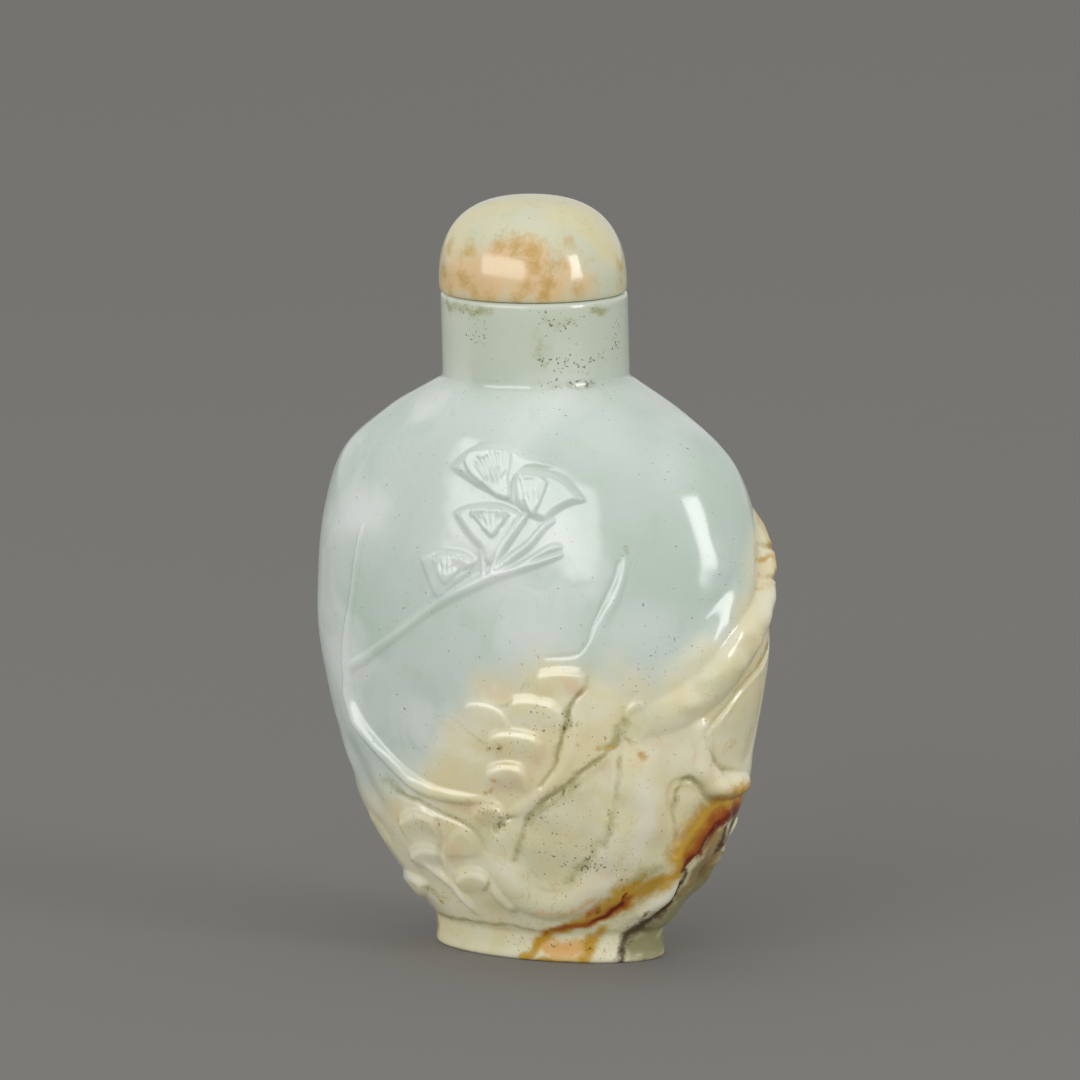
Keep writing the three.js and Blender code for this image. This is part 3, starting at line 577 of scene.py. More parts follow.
# Stains along paths over the wall, and painted shade on the lower right, from 0 to 1 in strength. They fade
# out sideways.
STAINS_AND_SHADE = {
    "glow": {
        "upper": [(134, 12.8, 0.6, 0.6), (124, 14.2, 0.9, 0.9), (112, 15.4, 1.4, 1), (98, 16, 1.8),
            (84, 15.9, 2.2), (77, 15, 2.5), (72, 13.6, 2.8), (69, 12, 2.7), (68, 10.6, 2.1),
            (68, 9.3, 1.4)],
        "lower": [(69, 9, 1), (63.6, 8.5, 1.3), (57, 7.7, 1.8), (51, 7.1, 2.3), (46.5, 6.2), (41, 5.2, 1.9),
            (34, 4.3, 1.5), (27, 3.7, 1)],
        "upper_band": [(54, 9, 0.8, 0.6), (50.6, 8.1, 0.9, 0.9), (47.6, 7.3, 0.9, 1),
            (45.1, 6.4, 0.8, 0.9)],
        "foot": [(44, 3.3, 1, 0.8), (39, 2.2, 1, 1), (36, 1, 0.9), (33, 0.2, 0.8, 0.9)],
        "foot_left": [(27, 3.4, 0.9, 0.9), (19, 3, 0.9, 1), (13, 2.2, 1), (9, 1), (5, 0.1, 0.9)],
        "foot_edge": [(5, 0.05, 0.5), (20, 0.05, 0.45, 0.9), (36, 0.05)],
        "left_edge": [(-62, 3.2, 0.7, 0.9), (-64, 2.2, 0.7, 1), (-64, 0.8, 0.6, 0.7)],
    },
    "peach": {
        "foot": [(13, 1.5, 1.2), (20, 1.2, 1.6), (28, 1.2), (34, 1.6, 1.1, 0.9)],
        "knob": [(84, 16.6, 1, 0.7), (95, 16.2, 1.1, 0.8)],
        "above_foot": [(14, 5.2, 1, 0.4), (26, 5.2, 1.1, 0.5), (36, 6.6, 1)],
    },
    "orange": {
        "upper": [(128, 13.4, 0.5, 0.8), (118, 14.3, 0.7, 0.9), (109, 14.9, 1, 1), (99, 14.8, 1.2),
            (87, 14.6, 1.3), (80, 14, 1.5), (76, 12.8, 1.7), (73.5, 11.6, 1.8), (71.5, 10.5, 1.3),
            (69.5, 9.6, 0.7)],
        "lower": [(53, 6.9, 0.6, 0.6), (49.5, 6.4, 0.9, 0.9), (46.5, 5.6, 1, 1), (43, 4.9), (37, 4.2, 0.85),
            (30, 3.7, 0.8), (23, 3.5, 0.7), (16, 2.9, 0.5, 0.8), (11, 2.2, 0.4, 0.6)],
        "olive_bead": [(38, 5.6, 0.7, 0.8), (35, 5, 0.6)],
        "knob_edge": [(86, 16, 0.5, 0.7), (98, 15.9, 0.6, 0.9)],
    },
    "red": {
        "upper": [(119, 13.9, 0.4, 0.8), (110, 14.4, 0.8, 1), (100, 14.3, 1.2), (88, 14.1), (81.5, 13.6, 1),
            (78.5, 12.6, 0.9), (76.8, 11.6, 1), (74.8, 10.6), (71.8, 9.9, 0.8), (69.3, 9.4, 0.5, 0.9)],
        "lower": [(50.2, 7.2, 0.3, 0.8), (48, 6.4, 0.4, 1), (45.4, 5.5, 0.5), (42.4, 4.8), (39, 4.4, 0.4),
            (35.5, 4, 0.3, 0.8)],
    },
    # A real brown stain right of the vein; its flank runs on down the lower right as painted shade.
    "umber_and_shade": {
        "flank": [(84, 12.9, 1.2, 0.9), (83, 11.7, 1.7, 1), (84, 10.4, 2.1), (85, 9.1, 2.2),
            (84, 7.8, 1.9, 0.9), (80, 6.4, 1.5, 0.7), (76, 4.8, 1.2, 0.5)],
        "far": [(97, 12.4, 1.6, 0.9), (97, 10.6, 2), (99, 9)],
    },
    # Painted shade: a dull olive-grey laid on the lower right flank and on the right of the foot, which face
    # away from the lamps.
    "painted_shade": {
        "right": [(92, 9, 1.6, 0.7), (93, 7, 2.2, 0.9), (91, 5.4, 2.6, 1), (86, 4), (80, 2.4, 2.4),
            (78, 1, 2.2)],
        "foot_right": [(64, 1.4, 1.6, 0.8), (80, 1.4, 1.8, 1), (100, 1.4)],
    },
    "dark": {
        "edge": [(122, 13, 0.4, 0.7), (112, 13.7, 0.7, 0.9), (104, 14, 1, 1), (97, 13.2, 1.5),
            (92, 12.5, 1.4), (88, 12.2, 0.7, 0.9)],
        "streak": [(86.5, 13.5, 0.5, 0.9), (86.3, 12.5, 0.6, 1), (86, 11.5, 0.55, 0.9),
            (85.5, 10.5, 0.4, 0.7)],
        "second": [(91, 11, 0.4, 0.7), (99, 9.6, 1, 1), (103, 8.6, 1.5), (102, 7.5, 1.1, 0.9),
            (106, 6, 0.8, 0.7), (110, 4.4, 0.5, 0.6)],
        "seam": [(70.5, 9.6, 0.5, 0.9), (74.4, 8.8, 0.7, 1), (75.6, 7.8, 0.5), (75.4, 6.9, 0.6),
            (75, 6, 0.9), (74.5, 5.1, 1.4), (71.5, 4.4, 1.7), (67.5, 3.7), (63, 3, 1.4), (59, 2.3, 1, 0.9),
            (57, 1.2, 0.8, 0.8), (55, 0.4, 0.7)],
        "beads": [(60, 9.4, 0.35, 0.7), (59, 9.5, 0.3, 0.6)],
        "bead": [(40, 5.7, 0.35, 0.8), (38.5, 5.2, 0.3, 0.7)],
        "leaf_bead": [(63.8, 5.3, 0.4, 0.8), (63, 4.9, 0.35, 0.7)],
    },
    "pale_green": {
        "foot": [(-50, 1.4, 1.4, 0.9), (-34, 1.4), (-18, 1.4), (-4, 1.2, 1.2, 0.7)],
        "hollow": [(31, 17.2, 1.6, 0.8), (26, 15.4, 2.2, 1), (20, 13.2, 2.4), (16.5, 11),
            (20, 9.4, 1.8, 0.9), (27, 12, 2.4), (32, 15, 2, 0.8)],
        "panel": [(80, 22.6, 2.2, 0.6), (90, 23.4, 2.6, 0.8), (99, 23.6, 2.4, 0.7)],
        "arch": [(66, 15.4, 1.4, 0.7), (68, 13.6, 1.3, 0.6)],
        "edge": [(-58, 15, 2, 0.7), (-50, 12.6, 1.4, 0.6), (-44, 11, 1, 0.4)],
    },
    "white": {
        "leaf": [(70, 8.6, 0.7, 0.8), (68.3, 7.6, 0.9, 1), (67, 6.5, 1), (65.5, 5.5, 0.9, 0.9)],
        "lobe": [(47, 18.6, 1.8, 0.7), (49, 16, 2.2, 0.9), (48.5, 13, 2.2, 0.8), (46, 10.6, 1.8, 0.6)],
        "corner": [(-60, 6.6, 1, 0.8), (-50, 6.8, 0.9, 0.9), (-42, 6.6, 0.8, 0.8)],
        "boss": [(-30, 10.2, 0.7, 0.6), (-25, 9.9)],
        "bead": [(-21, 6.4, 0.7, 0.7), (-17, 5)],
        "scale": [(6, 17.4, 1.2, 0.5), (13, 19), (12, 22.2, 1.4)],
        "rim": [(4, 9.6, 1.2, 0.6), (8, 8)],
    },
    "olive": {
        "root": [(30.6, 28, 0.5, 0.6), (28, 26.4, 0.8, 0.9), (25.6, 24.6, 0.7, 1), (23.8, 22.4, 0.6, 0.8),
            (22, 20, 0.6, 0.7), (18, 17.8, 0.5, 0.6)],
        "cross": [(39.8, 25.4, 0.5, 0.5), (40.4, 23.8, 0.8, 1), (38.4, 22.4, 0.9), (34.6, 21.6, 0.6, 0.8)],
        "cross_right": [(40.6, 22.9, 0.6, 0.9), (43.4, 21.8, 0.5, 0.8), (47, 21, 0.4, 0.6)],
        "leaf": [(36, 21, 0.6, 0.9), (29.3, 19.2, 0.9, 1), (24.2, 17.6, 1.1), (18.5, 16.3, 1.2),
            (14.5, 14.8, 0.9), (11.6, 13.2, 0.6, 0.9), (9, 11.7, 0.6, 0.8), (7.4, 10.2, 0.6, 0.7)],
        "seam": [(40.5, 20.6, 0.5, 0.7), (39.4, 18.4, 0.6, 0.6), (39.2, 16.6, 0.8), (38.2, 14.8, 1, 0.7),
            (36, 12.8, 1.2), (31.5, 10.4, 1.5, 0.8), (26, 8.7, 1.3, 0.7), (20, 7.8, 0.9, 0.5)],
        "left": [(-36, 16.6, 0.9, 0.6), (-29.8, 15.8, 0.9, 0.8), (-23.6, 15.1, 0.6), (-17, 14.5, 0.5),
            (-13.1, 13.9, 0.5, 0.7), (-9.1, 13.4, 0.4), (-5.7, 12.8, 0.3, 0.5), (-3.3, 11.6)],
        "small_arch": [(2.4, 12.7, 0.5, 0.7), (3.9, 13.4, 0.6, 1), (6.5, 14.1, 0.5, 0.9),
            (9.2, 14.5, 0.4, 0.5)],
        "arch": [(61.9, 12.4, 0.5, 0.6), (59.6, 14.4, 0.5, 0.7), (58.3, 16, 0.6, 0.8),
            (58.5, 17.3, 0.6, 0.9), (60, 18, 0.6, 1), (63.2, 18.3, 0.7), (66.8, 17.7, 0.6),
            (69.7, 16.8, 0.6, 0.9), (74.2, 16.1, 0.7), (80.2, 15.9, 0.6, 0.6)],
        "panel": [(67, 22.5, 0.4, 0.4), (70.5, 20.8, 0.5, 0.6), (77, 19, 0.6, 0.7), (84, 18.6, 0.5, 0.5)],
        "above_foot": [(-60, 2.9, 0.4, 0.6), (-49, 3, 0.5, 0.9), (-26, 3.2, 0.5, 1), (-12, 3.3),
            (0, 3.4, 0.5, 0.9), (10, 3.4, 0.4, 0.8)],
        "low_patch": [(58, 9.8, 1, 0.7), (53, 9, 1.4, 0.8), (48, 8.2), (43, 7, 1.2, 0.7)],
        "bosses": [(-36, 8.8, 0.7, 0.8), (-33, 8.3, 0.6, 0.6)],
        "corner": [(-40, 6.2, 0.6, 0.6), (-36, 5.4, 0.8, 0.9), (-31, 5.2, 0.6, 0.6)],
        "blob_side": [(-4, 7.6, 0.5, 0.8), (-6, 6.9, 0.4, 0.7)],
        "scale_side": [(6.6, 25.2, 0.4, 0.6), (10, 25.2, 0.3, 0.5), (15, 27.4, 0.4, 0.7),
            (16, 26.9, 0.3, 0.6)],
        "scale_low": [(3, 20.9, 0.7, 0.6), (7, 21.1, 0.6)],
        "diagonal": [(-5.6, 23.4, 0.3, 0.5), (-1.6, 22.6, 0.35, 0.6), (2.4, 21.4, 0.3)],
        "stem_top": [(41.6, 40, 0.5, 0.8), (42, 39.4, 0.4, 0.6)],
        "neck_rim": [(-40, 60.6, 0.8, 0.9), (-34, 60.3, 0.9, 1), (-24, 60.5, 0.8, 0.8), (-11, 60.1, 0.9, 1),
            (0, 60.6, 0.7, 0.6)],
        "neck_rim_right": [(66, 60.3, 0.7, 0.9), (74, 60.2, 0.8, 1), (80, 60.3, 0.6, 0.8)],
        "neck_middle": [(36, 59.9, 0.9, 0.5), (44, 59.3, 1), (52, 59.6, 0.8, 0.45)],
        "neck_front": [(31, 58.2, 0.9, 0.35), (31, 56.6, 1.1, 0.55), (32, 55.4, 0.9, 0.45)],
        "neck_foot": [(28, 53.9, 0.6, 0.4), (40, 53.7), (51, 53.6, 0.7, 0.6), (66, 53.6, 0.7, 0.4)],
    },
    "specks": {
        "neck_front": [(35, 59.8, 1.8, 0.9), (50, 59.4, 1.8, 1)],
        "neck_low": [(30, 56.2, 1.2), (44, 55.6, 1.3, 1.3), (60, 55.6, 1.3, 1.4), (72, 56, 1.2, 1.3)],
        "neck_right": [(86, 57, 1.3, 1.2), (90, 58.6, 1.1, 1)],
        "neck_left": [(-18, 58.1, 1.1, 0.8), (-4, 58), (-18, 60.4, 1, 0.9)],
        "neck_base": [(36, 53.8, 0.9, 1.1), (60, 53.8)],
        "shoulder": [(30, 52, 1, 0.6), (36, 51.6, 1, 0.5)],
        "hollow": [(24, 16, 2.4, 0.6), (18, 12, 3, 0.7), (26, 10, 3, 0.8), (34, 10, 2.4, 0.7),
            (44, 9, 2, 0.6)],
        "scales": [(18, 25, 1.4, 0.8), (22, 24.6, 1.2), (3, 21), (26, 23.5, 1.4)],
        "ground": [(48, 30, 2.4, 0.5), (56, 31), (44, 28, 2, 0.4)],
        "foot": [(-10, 1.6, 1, 0.4), (30, 1.6, 1.3, 0.8), (46, 1.6, 1.2), (56, 1.4, 1, 0.7)],
        "low_left": [(-8, 15.4, 1.2, 0.6), (4, 14.8, 1.4, 0.8), (1, 13.4, 1.2, 0.6), (-24, 12.6)],
    },
    "skin": {
        "trunk": [(94, 34.6, 1, 0.3), (101, 36, 1.3, 0.6), (106, 37.6, 1.4, 0.8), (108, 39.6, 1.3, 1),
            (109, 41.8, 1)],
        "step": [(90, 37.6, 0.4, 0.5), (98, 37.7, 0.5, 0.8), (108, 37.4, 0.5, 0.9)],
        "second_step": [(87, 35.6, 0.3, 0.4), (96, 35.3, 0.4, 0.6), (108, 35, 0.4, 0.7)],
        "edge": [(108.5, 36, 0.8, 0.9), (108.4, 33.6, 0.9), (108.2, 31, 1), (104, 29.8, 0.9, 0.8),
            (95, 28.8, 0.8, 0.7), (86, 27.6, 0.7, 0.6), (78, 26.2, 0.6, 0.5)],
        "knob": [(84, 17.6, 0.8, 0.3), (96, 17, 1.2, 0.7)],
    },
    "pink": {
        "middle_boss": [(-14.5, 11.6, 1.1, 0.9), (-14.5, 10.4, 1, 0.8), (-11, 10.8, 1.2, 0.5)],
        "trunk_end": [(-12, 14.8, 0.9, 0.6), (-6, 14.9, 1, 0.9), (-1, 15.2, 0.9, 0.7)],
        "scales": [(4, 17.8, 1.4, 0.8), (9, 17.6, 1.2, 0.7), (16, 19.6, 0.9), (19, 21.2, 1, 0.8)],
        "top_scale": [(26, 27.4, 1.4, 0.9), (29, 26.2, 1, 0.8)],
        "root": [(12.5, 15.6, 0.5, 0.6), (14, 16.8, 0.5, 0.5)],
        "foot": [(14, 1.6, 1.1, 0.9), (20, 1.3, 1.5, 1), (27, 1.3, 1.4), (33, 1.8, 0.9, 0.7)],
        "knob": [(78, 17.4, 1, 0.6), (88, 17, 1.2, 0.8), (98, 16.8, 1.2, 0.9)],
        "flank": [(66, 11, 1.2, 0.5), (69, 13, 1)],
        "right_arch": [(74, 18.4, 1.2, 0.5), (66, 20)],
        "middle": [(46, 21, 1.4, 0.6), (50, 20.4, 1, 0.5)],
    },
}

# Small orange spots: turn, height, half width.
SPOTS = [
    (45.8, 20.9, 0.6), (3.1, 17, 0.5), (1.2, 16.7, 0.5), (-3.2, 16, 0.5), (36.5, 21.6, 0.7),
    (33.4, 21.5, 0.5), (7.2, 21.4, 0.5), (-16.6, 13, 0.35), (-35.8, 4.8, 0.5), (27, 23.6, 0.5),
    (22.4, 20.2, 0.4), (43.6, 21.6, 0.35), (29, 21.9, 0.35), (3.8, 17.9, 0.35), (-63, 3.4, 0.5),
]


def stain_profile(away):
    """Full in the middle of a stain, and nothing from its edge outwards."""
    return np.clip(1 - away, 0, 1)


def wall_masks(points):
    """How strongly each colour of the stone, and the painted shade, shows at each place of the plain wall
    and foot.
    """
    heights = points[:, 2]
    width, depth = wall_size(heights)
    turns = np.degrees(np.arctan2((points[:, 0] - axis_shift(heights)) / width, -points[:, 1] / depth))
    turns = np.where(turns < -90, turns + 360, turns)
    line = np.interp(turns, [p[0] for p in CREAM_LINE], [p[1] for p in CREAM_LINE])
    ragged = heights + 1.1 * noise(points, 7, 11) + 0.35 * noise(points, 3.2, 12)
    masks = {"cream": 1 - smoothstep(ragged, line - 4.0, line + 2.4), "neck": smoothstep(heights, 51, 57)}
    warped = points + 0.16 * np.stack([noise(points, 2.4, seed) for seed in (21, 22, 23)], axis=1)
    for name, paths in STAINS_AND_SHADE.items():
        mask = np.zeros(len(points))
        for path in paths.values():
            mask = np.maximum(mask, path_rise(warped, path, profile=stain_profile))
        masks[name] = mask
    spots = np.zeros(len(points))
    for turn, height, radius in SPOTS:
        away = np.linalg.norm(warped - wall_point(turn, height), axis=1)
        spots = np.maximum(spots, stain_profile(away / radius))
    masks["spots"] = spots
    return masks


def new_object(name, vertices, faces, masks=None):
    """A smooth mesh from points in millimetres, with its masks kept on the points."""
    mesh = bpy.data.meshes.new(name)
    mesh.from_pydata((np.asarray(vertices) * MM).tolist(), [], faces)
    mesh.polygons.foreach_set("use_smooth", [True] * len(mesh.polygons))
    for mask_name, values in (masks or {}).items():
        layer = mesh.attributes.new(mask_name, "FLOAT", "POINT")
        layer.data.foreach_set("value", np.asarray(values, np.float32))
    mesh.update()
    piece = bpy.data.objects.new(name, mesh)
    bpy.context.scene.collection.objects.link(piece)
    return piece


def make_bottle():
    """One closed mesh: foot, carved wall, neck, mouth, bore and cavity."""
    turns, body_heights, body, fine = carved_wall()
    fine_sides = len(turns)
    turn_grid, height_grid = np.meshgrid(turns, body_heights)
    plain = [wall_point(turn_grid.ravel(), height_grid.ravel())]
    faces = build_faces(fine)

    coarse_turns = turns[::2]
    below, above = foot_rings(coarse_turns), neck_and_cavity_rings(coarse_turns)
    vertices = np.vstack([body] + below + above)
    numbers = [len(body) + i * COARSE_SIDES + np.arange(COARSE_SIDES)
               for i in range(len(below) + len(above))]
    body_bottom = np.arange(0, fine_sides, 2)
    body_top = len(body) - fine_sides + np.arange(0, fine_sides, 2)
    for chain in (numbers[:len(below)] + [body_bottom], [body_top] + numbers[len(below):]):
        for lower, upper in zip(chain[:-1], chain[1:]):
            faces += ring_faces(lower.tolist(), upper.tolist())
    faces.append(numbers[0][::-1].tolist())
    faces.append(numbers[-1].tolist())

    # The foot takes the colours of the wall at its own height, and the neck and the cavity take
    # those at their own places.
    plain += [wall_point(coarse_turns, foot_ring[:, 2]) for foot_ring in below]
    masks = wall_masks(np.vstack(plain + above))
    used = np.zeros(len(vertices), bool)
    for face in faces:
        used[face] = True
    renumber = np.cumsum(used) - 1
    faces = [renumber[face].tolist() for face in faces]
    masks = {name: mask[used] for name, mask in masks.items()}
    bottle = new_object("carved_bottle", vertices[used], faces, masks)
    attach(bottle, "root")
    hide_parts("bottle")
    return bottle


# ------------ the stopper
# Patches of colour: turn, height and radius in millimetres, and strength.
STOPPER_PATCHES = {
    "peach": [(-44, 62.4, 3, 0.9), (-28, 63.4, 3.4, 0.9), (-12, 63.6, 3.6, 1), (0, 62.8, 3.6, 1),
        (8, 64.6, 3.4, 1), (20, 63.4, 3.4, 1), (28, 65, 3, 1), (38, 63, 3.2, 1), (48, 64.2, 2.8, 0.8),
        (60, 62.8, 2.6, 0.7), (130, 64, 3.6, 0.6), (200, 65, 3.4, 0.5)],
    "ochre": [(-44, 65.6, 2, 0.9), (-42, 63.2, 2, 1), (-33, 61.9, 1.8, 0.9), (-21, 65.6, 2, 0.9),
        (-20, 63.1, 1.9, 0.9), (-10, 62, 1.7, 0.9), (6, 66.4, 2, 0.9), (16, 66.5, 2, 1), (27, 66.2, 2, 1),
        (31, 64.6, 1.8, 0.9), (42, 64.8, 2.3, 1), (37, 63.4, 1.9, 1), (24, 62.9, 1.6, 1),
        (19, 61.8, 1.6, 1), (34, 62, 1.6, 0.9), (0, 61.8, 1.5, 0.8), (54, 66.8, 1.7, 0.7),
        (56, 62.4, 1.8, 0.7), (98, 64.2, 1.9, 0.7), (96, 62.4, 1.6, 0.8), (150, 64, 2.6, 0.8),
        (215, 63, 2.4, 0.7)],
}


def patch_mask(points, patches):
    """How strongly round patches of colour show at each point of the stopper."""
    mask = np.zeros(len(points))
    across = points[:, 0] - STOPPER_MIDDLE
    reach = np.hypot(across, points[:, 1])
    for turn, height, radius, strength in patches:
        around = np.arctan2(across, -points[:, 1]) - math.radians(turn)
        around = (around + math.pi) % (2 * math.pi) - math.pi
        away = np.hypot(around * reach, points[:, 2] - height) / radius
        mask = np.maximum(mask, strength * stain_profile(away))
    return mask


def make_stopper():
    """One closed mesh of rings: plug, flat underside, rounded rim and dome."""
    sides = 128
    angle = np.radians(np.linspace(0, 360, sides, endpoint=False))
    underside = MOUTH_HEIGHT + STOPPER_GAP
    rim = underside + EDGE_ROUND
    dome = TOTAL_HEIGHT - rim
    profile = [(POLE_RADIUS, PLUG_FOOT), (PLUG_RADIUS - EDGE_ROUND, PLUG_FOOT),
               (PLUG_RADIUS, PLUG_FOOT + EDGE_ROUND), (PLUG_RADIUS, underside)]
    for climb in QUARTER_TURN:
        profile.append((STOPPER_RADIUS - EDGE_ROUND * (1 - math.sin(climb)) - RIM_INSET,
                        underside + EDGE_ROUND * (1 - math.cos(climb))))
    for climb in np.linspace(0, math.pi / 2, 48)[1:-1]:
        profile.append((STOPPER_RADIUS * math.cos(climb) ** (2 / DOME_EXPONENT),
                        rim + dome * math.sin(climb) ** (2 / DOME_EXPONENT)))
    profile.append((POLE_RADIUS, TOTAL_HEIGHT))
    rings = []
    for radius, height in profile:
        middle = STOPPER_MIDDLE + axis_shift(height) - axis_shift(rim)
        rings.append(np.stack([middle + radius * np.sin(angle), -radius * np.cos(angle),
                               np.full(sides, height)], axis=1))
    vertices = np.vstack(rings)
    numbers = [i * sides + np.arange(sides) for i in range(len(rings))]
    faces = [numbers[0][::-1].tolist(), numbers[-1].tolist()]
    for lower, upper in zip(numbers[:-1], numbers[1:]):
        faces += ring_faces(lower.tolist(), upper.tolist())
    masks = {name: patch_mask(vertices, patches) for name, patches in STOPPER_PATCHES.items()}
    stopper = new_object("stopper_dome", vertices, faces, masks)
    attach(stopper, "root")
    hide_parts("stopper")
    return stopper


# ------------ materials
class Nodes:
    """A material and short ways to add and link its shader nodes."""

    def __init__(self, name):
        self.material = bpy.data.materials.new(name)
        self.material.use_nodes = True
        self.tree = self.material.node_tree
        self.shader = self.tree.nodes["Principled BSDF"]
        self.place = self.add("ShaderNodeTexCoord", "Object", {})

    def set_inputs(self, node, inputs):
        for key, value in inputs.items():
            if isinstance(value, bpy.types.NodeSocket):
                self.tree.links.new(value, node.inputs[key])
            else:
                node.inputs[key].default_value = value

    def add(self, kind, output, inputs, **settings):
        """The output of a new node whose inputs are set or linked."""
        node = self.tree.nodes.new(kind)
        for key, value in settings.items():
            setattr(node, key, value)
        self.set_inputs(node, inputs)
        return node.outputs[output]

    def mask(self, name):
        return self.add("ShaderNodeAttribute", "Fac", {}, attribute_name=name)

    def noise(self, scale, detail, roughness=0.55, distortion=0.0):
        return self.add("ShaderNodeTexNoise", "Fac", {"Vector": self.place, "Scale": scale, "Detail": detail,
                                                      "Roughness": roughness, "Distortion": distortion})

    def ramp(self, value, low, high):
        return self.add("ShaderNodeMapRange", "Result", {"Value": value, "From Min": low, "From Max": high},
                        interpolation_type="SMOOTHSTEP")

    def math(self, operation, first, second=0):
        return self.add("ShaderNodeMath", "Value", {0: first, 1: second}, operation=operation)

    def mix(self, share, first, second):
        sides = {name: (*value, 1) if isinstance(value, tuple) else value
                 for name, value in (("A", first), ("B", second))}
        return self.add("ShaderNodeMix", "Result", {"Factor": share, **sides}, data_type="RGBA")

    def lay(self, colour, tint, share, strength):
        """The colour with a tint over it, as far as its share of the surface says."""
        return self.mix(self.math("MULTIPLY", share, strength), colour, tint)


# Colours of the stone, linear, with one for painted shade.
CELADON = (0.68, 0.75, 0.69)
PALE_CLOUD = (0.78, 0.83, 0.79)
SEA_GREEN = (0.58, 0.68, 0.60)
MINT = (0.52, 0.64, 0.53)
NECK_GREEN = (0.66, 0.70, 0.56)
CREAM = (0.86, 0.78, 0.50)
PALE_CREAM = (0.91, 0.87, 0.67)
GREEN_CREAM = (0.80, 0.79, 0.54)
PALE_GREEN = (0.75, 0.72, 0.48)
WHITE = (0.92, 0.89, 0.76)
OLIVE = (0.34, 0.32, 0.06)
PINK = (0.87, 0.67, 0.46)
AMBER = (0.60, 0.345, 0.006)
ORANGE = (0.44, 0.10, 0.001)
RED_BROWN = (0.17, 0.010, 0.0005)
# Painted shade: the darkened olive-grey of the lower right, which faces away from the lamps.
PAINTED_SHADE_GREEN = (0.30, 0.28, 0.12)
PEACH = (0.82, 0.50, 0.17)
# Brown of the stain right of the vein, also laid on the lower right as painted shade.
UMBER_AND_SHADE = (0.32, 0.22, 0.06)
DARK_BROWN = (0.075, 0.032, 0.003)
OCHRE = (0.62, 0.37, 0.05)
SPECK = (0.07, 0.07, 0.03)
STOPPER_CREAM = (0.78, 0.72, 0.46)
STOPPER_GREEN = (0.71, 0.72, 0.55)
STOPPER_GOLD = (0.66, 0.56, 0.25)
STOPPER_PEACH = (0.84, 0.60, 0.32)
STOPPER_OCHRE = (0.60, 0.36, 0.07)
FLOOR_GREY = (0.222, 0.217, 0.203)
FLOOR_PALE_GREY = (0.234, 0.229, 0.215)

# The polished stone itself. Lengths are in metres.
JADE_IOR = 1.64
SUBSURFACE_SHARE = 0.85
SUBSURFACE_RADIUS = (1.0, 1.05, 0.9)
SUBSURFACE_DEPTH = 0.0013
POLISH = (0.09, 0.18)  # the least and the most roughness
RIPPLE_STRENGTH = 0.3
RIPPLE_HEIGHT = 0.0003

# Soft mottles, laid over one another: colour, strength, the noise's scale, detail, roughness and
# distortion, and the levels of the noise between which the mottle fades in.
UPPER_MOTTLES = [
    (SEA_GREEN, 1, 60, 2, 0.5, 0.4, 0.42, 0.66),
    (PALE_CLOUD, 1, 95, 3, 0.5, 0.6, 0.45, 0.72),
    (MINT, 0.35, 260, 5, 0.65, 0.8, 0.5, 0.72),
]
LOWER_MOTTLES = [
    (PALE_CREAM, 1, 170, 4, 0.6, 0.5, 0.38, 0.66),
    (GREEN_CREAM, 0.7, 130, 3, 0.5, 0.4, 0.48, 0.66),
    (PINK, 0.45, 340, 5, 0.65, 0.7, 0.54, 0.74),
]
STOPPER_CLOUDS = [(STOPPER_CREAM, 1, 120, 3, 0.55, 0.4, 0.38, 0.6)]
STOPPER_MOTTLES = [
    (STOPPER_GOLD, 0.35, 480, 5, 0.7, 0.4, 0.5, 0.72),
    (OLIVE, 0.6, 3000, 2, 0.55, 0, 0.70, 0.76),
]

# The grains that break up the edges of the stains: scale, detail, roughness and distortion.
GRAINS = {
    "even": (420, 5, 0.65, 0.6), "fine": (900, 5, 0.7, 0), "vein": (620, 6, 0.7, 1),
    "soft": (300, 5, 0.65, 0.8), "streaky": (620, 7, 0.8, 0.35),
}

# The stains, with painted shade among them, in the order they're laid: mask, colour, grain, how far the
# grain swings the mask, the levels between which the stain fades in, and its strength.
BOTTLE_STAINS_AND_SHADE = [
    ("pale_green", PALE_GREEN, "even", 0.8, 0.1, 0.8, 0.55),
    ("white", WHITE, "even", 0.8, 0.15, 0.8, 0.7),
    ("pink", PINK, "even", 0.8, 0.15, 0.9, 0.65),
    # These two rows lay painted shade on the lower right; the second is also a real brown stain beside the
    # vein.
    ("painted_shade", PAINTED_SHADE_GREEN, "even", 0.8, 0, 0.75, 0.9),
    ("umber_and_shade", UMBER_AND_SHADE, "vein", 1.4, 0.1, 0.8, 0.85),
    ("peach", PEACH, "vein", 1.2, 0.1, 0.8, 0.9),
    ("olive", OLIVE, "fine", 1.4, 0.1, 1.05, 0.62),
    ("skin", OCHRE, "vein", 1.4, 0.15, 0.8, 0.8),
    ("spots", OCHRE, "fine", 1.4, 0.1, 0.9, 0.7),
    ("glow", AMBER, "vein", 1, 0.02, 0.8, 0.92),
    ("orange", ORANGE, "vein", 1, 0.15, 0.9, 0.95),
    ("red", RED_BROWN, "vein", 1.2, 0.25, 0.85, 0.95),
    ("dark", DARK_BROWN, "vein", 1.6, 0.15, 0.85, 0.93),
]
STOPPER_STAINS = [
    ("peach", STOPPER_PEACH, "soft", 0.8, 0.05, 0.75, 0.85),
    ("ochre", STOPPER_OCHRE, "streaky", 2.6, 0.2, 1.15, 0.75),
]
MASK_EDGE = 0.12  # a stain is whole only where its mask is above this


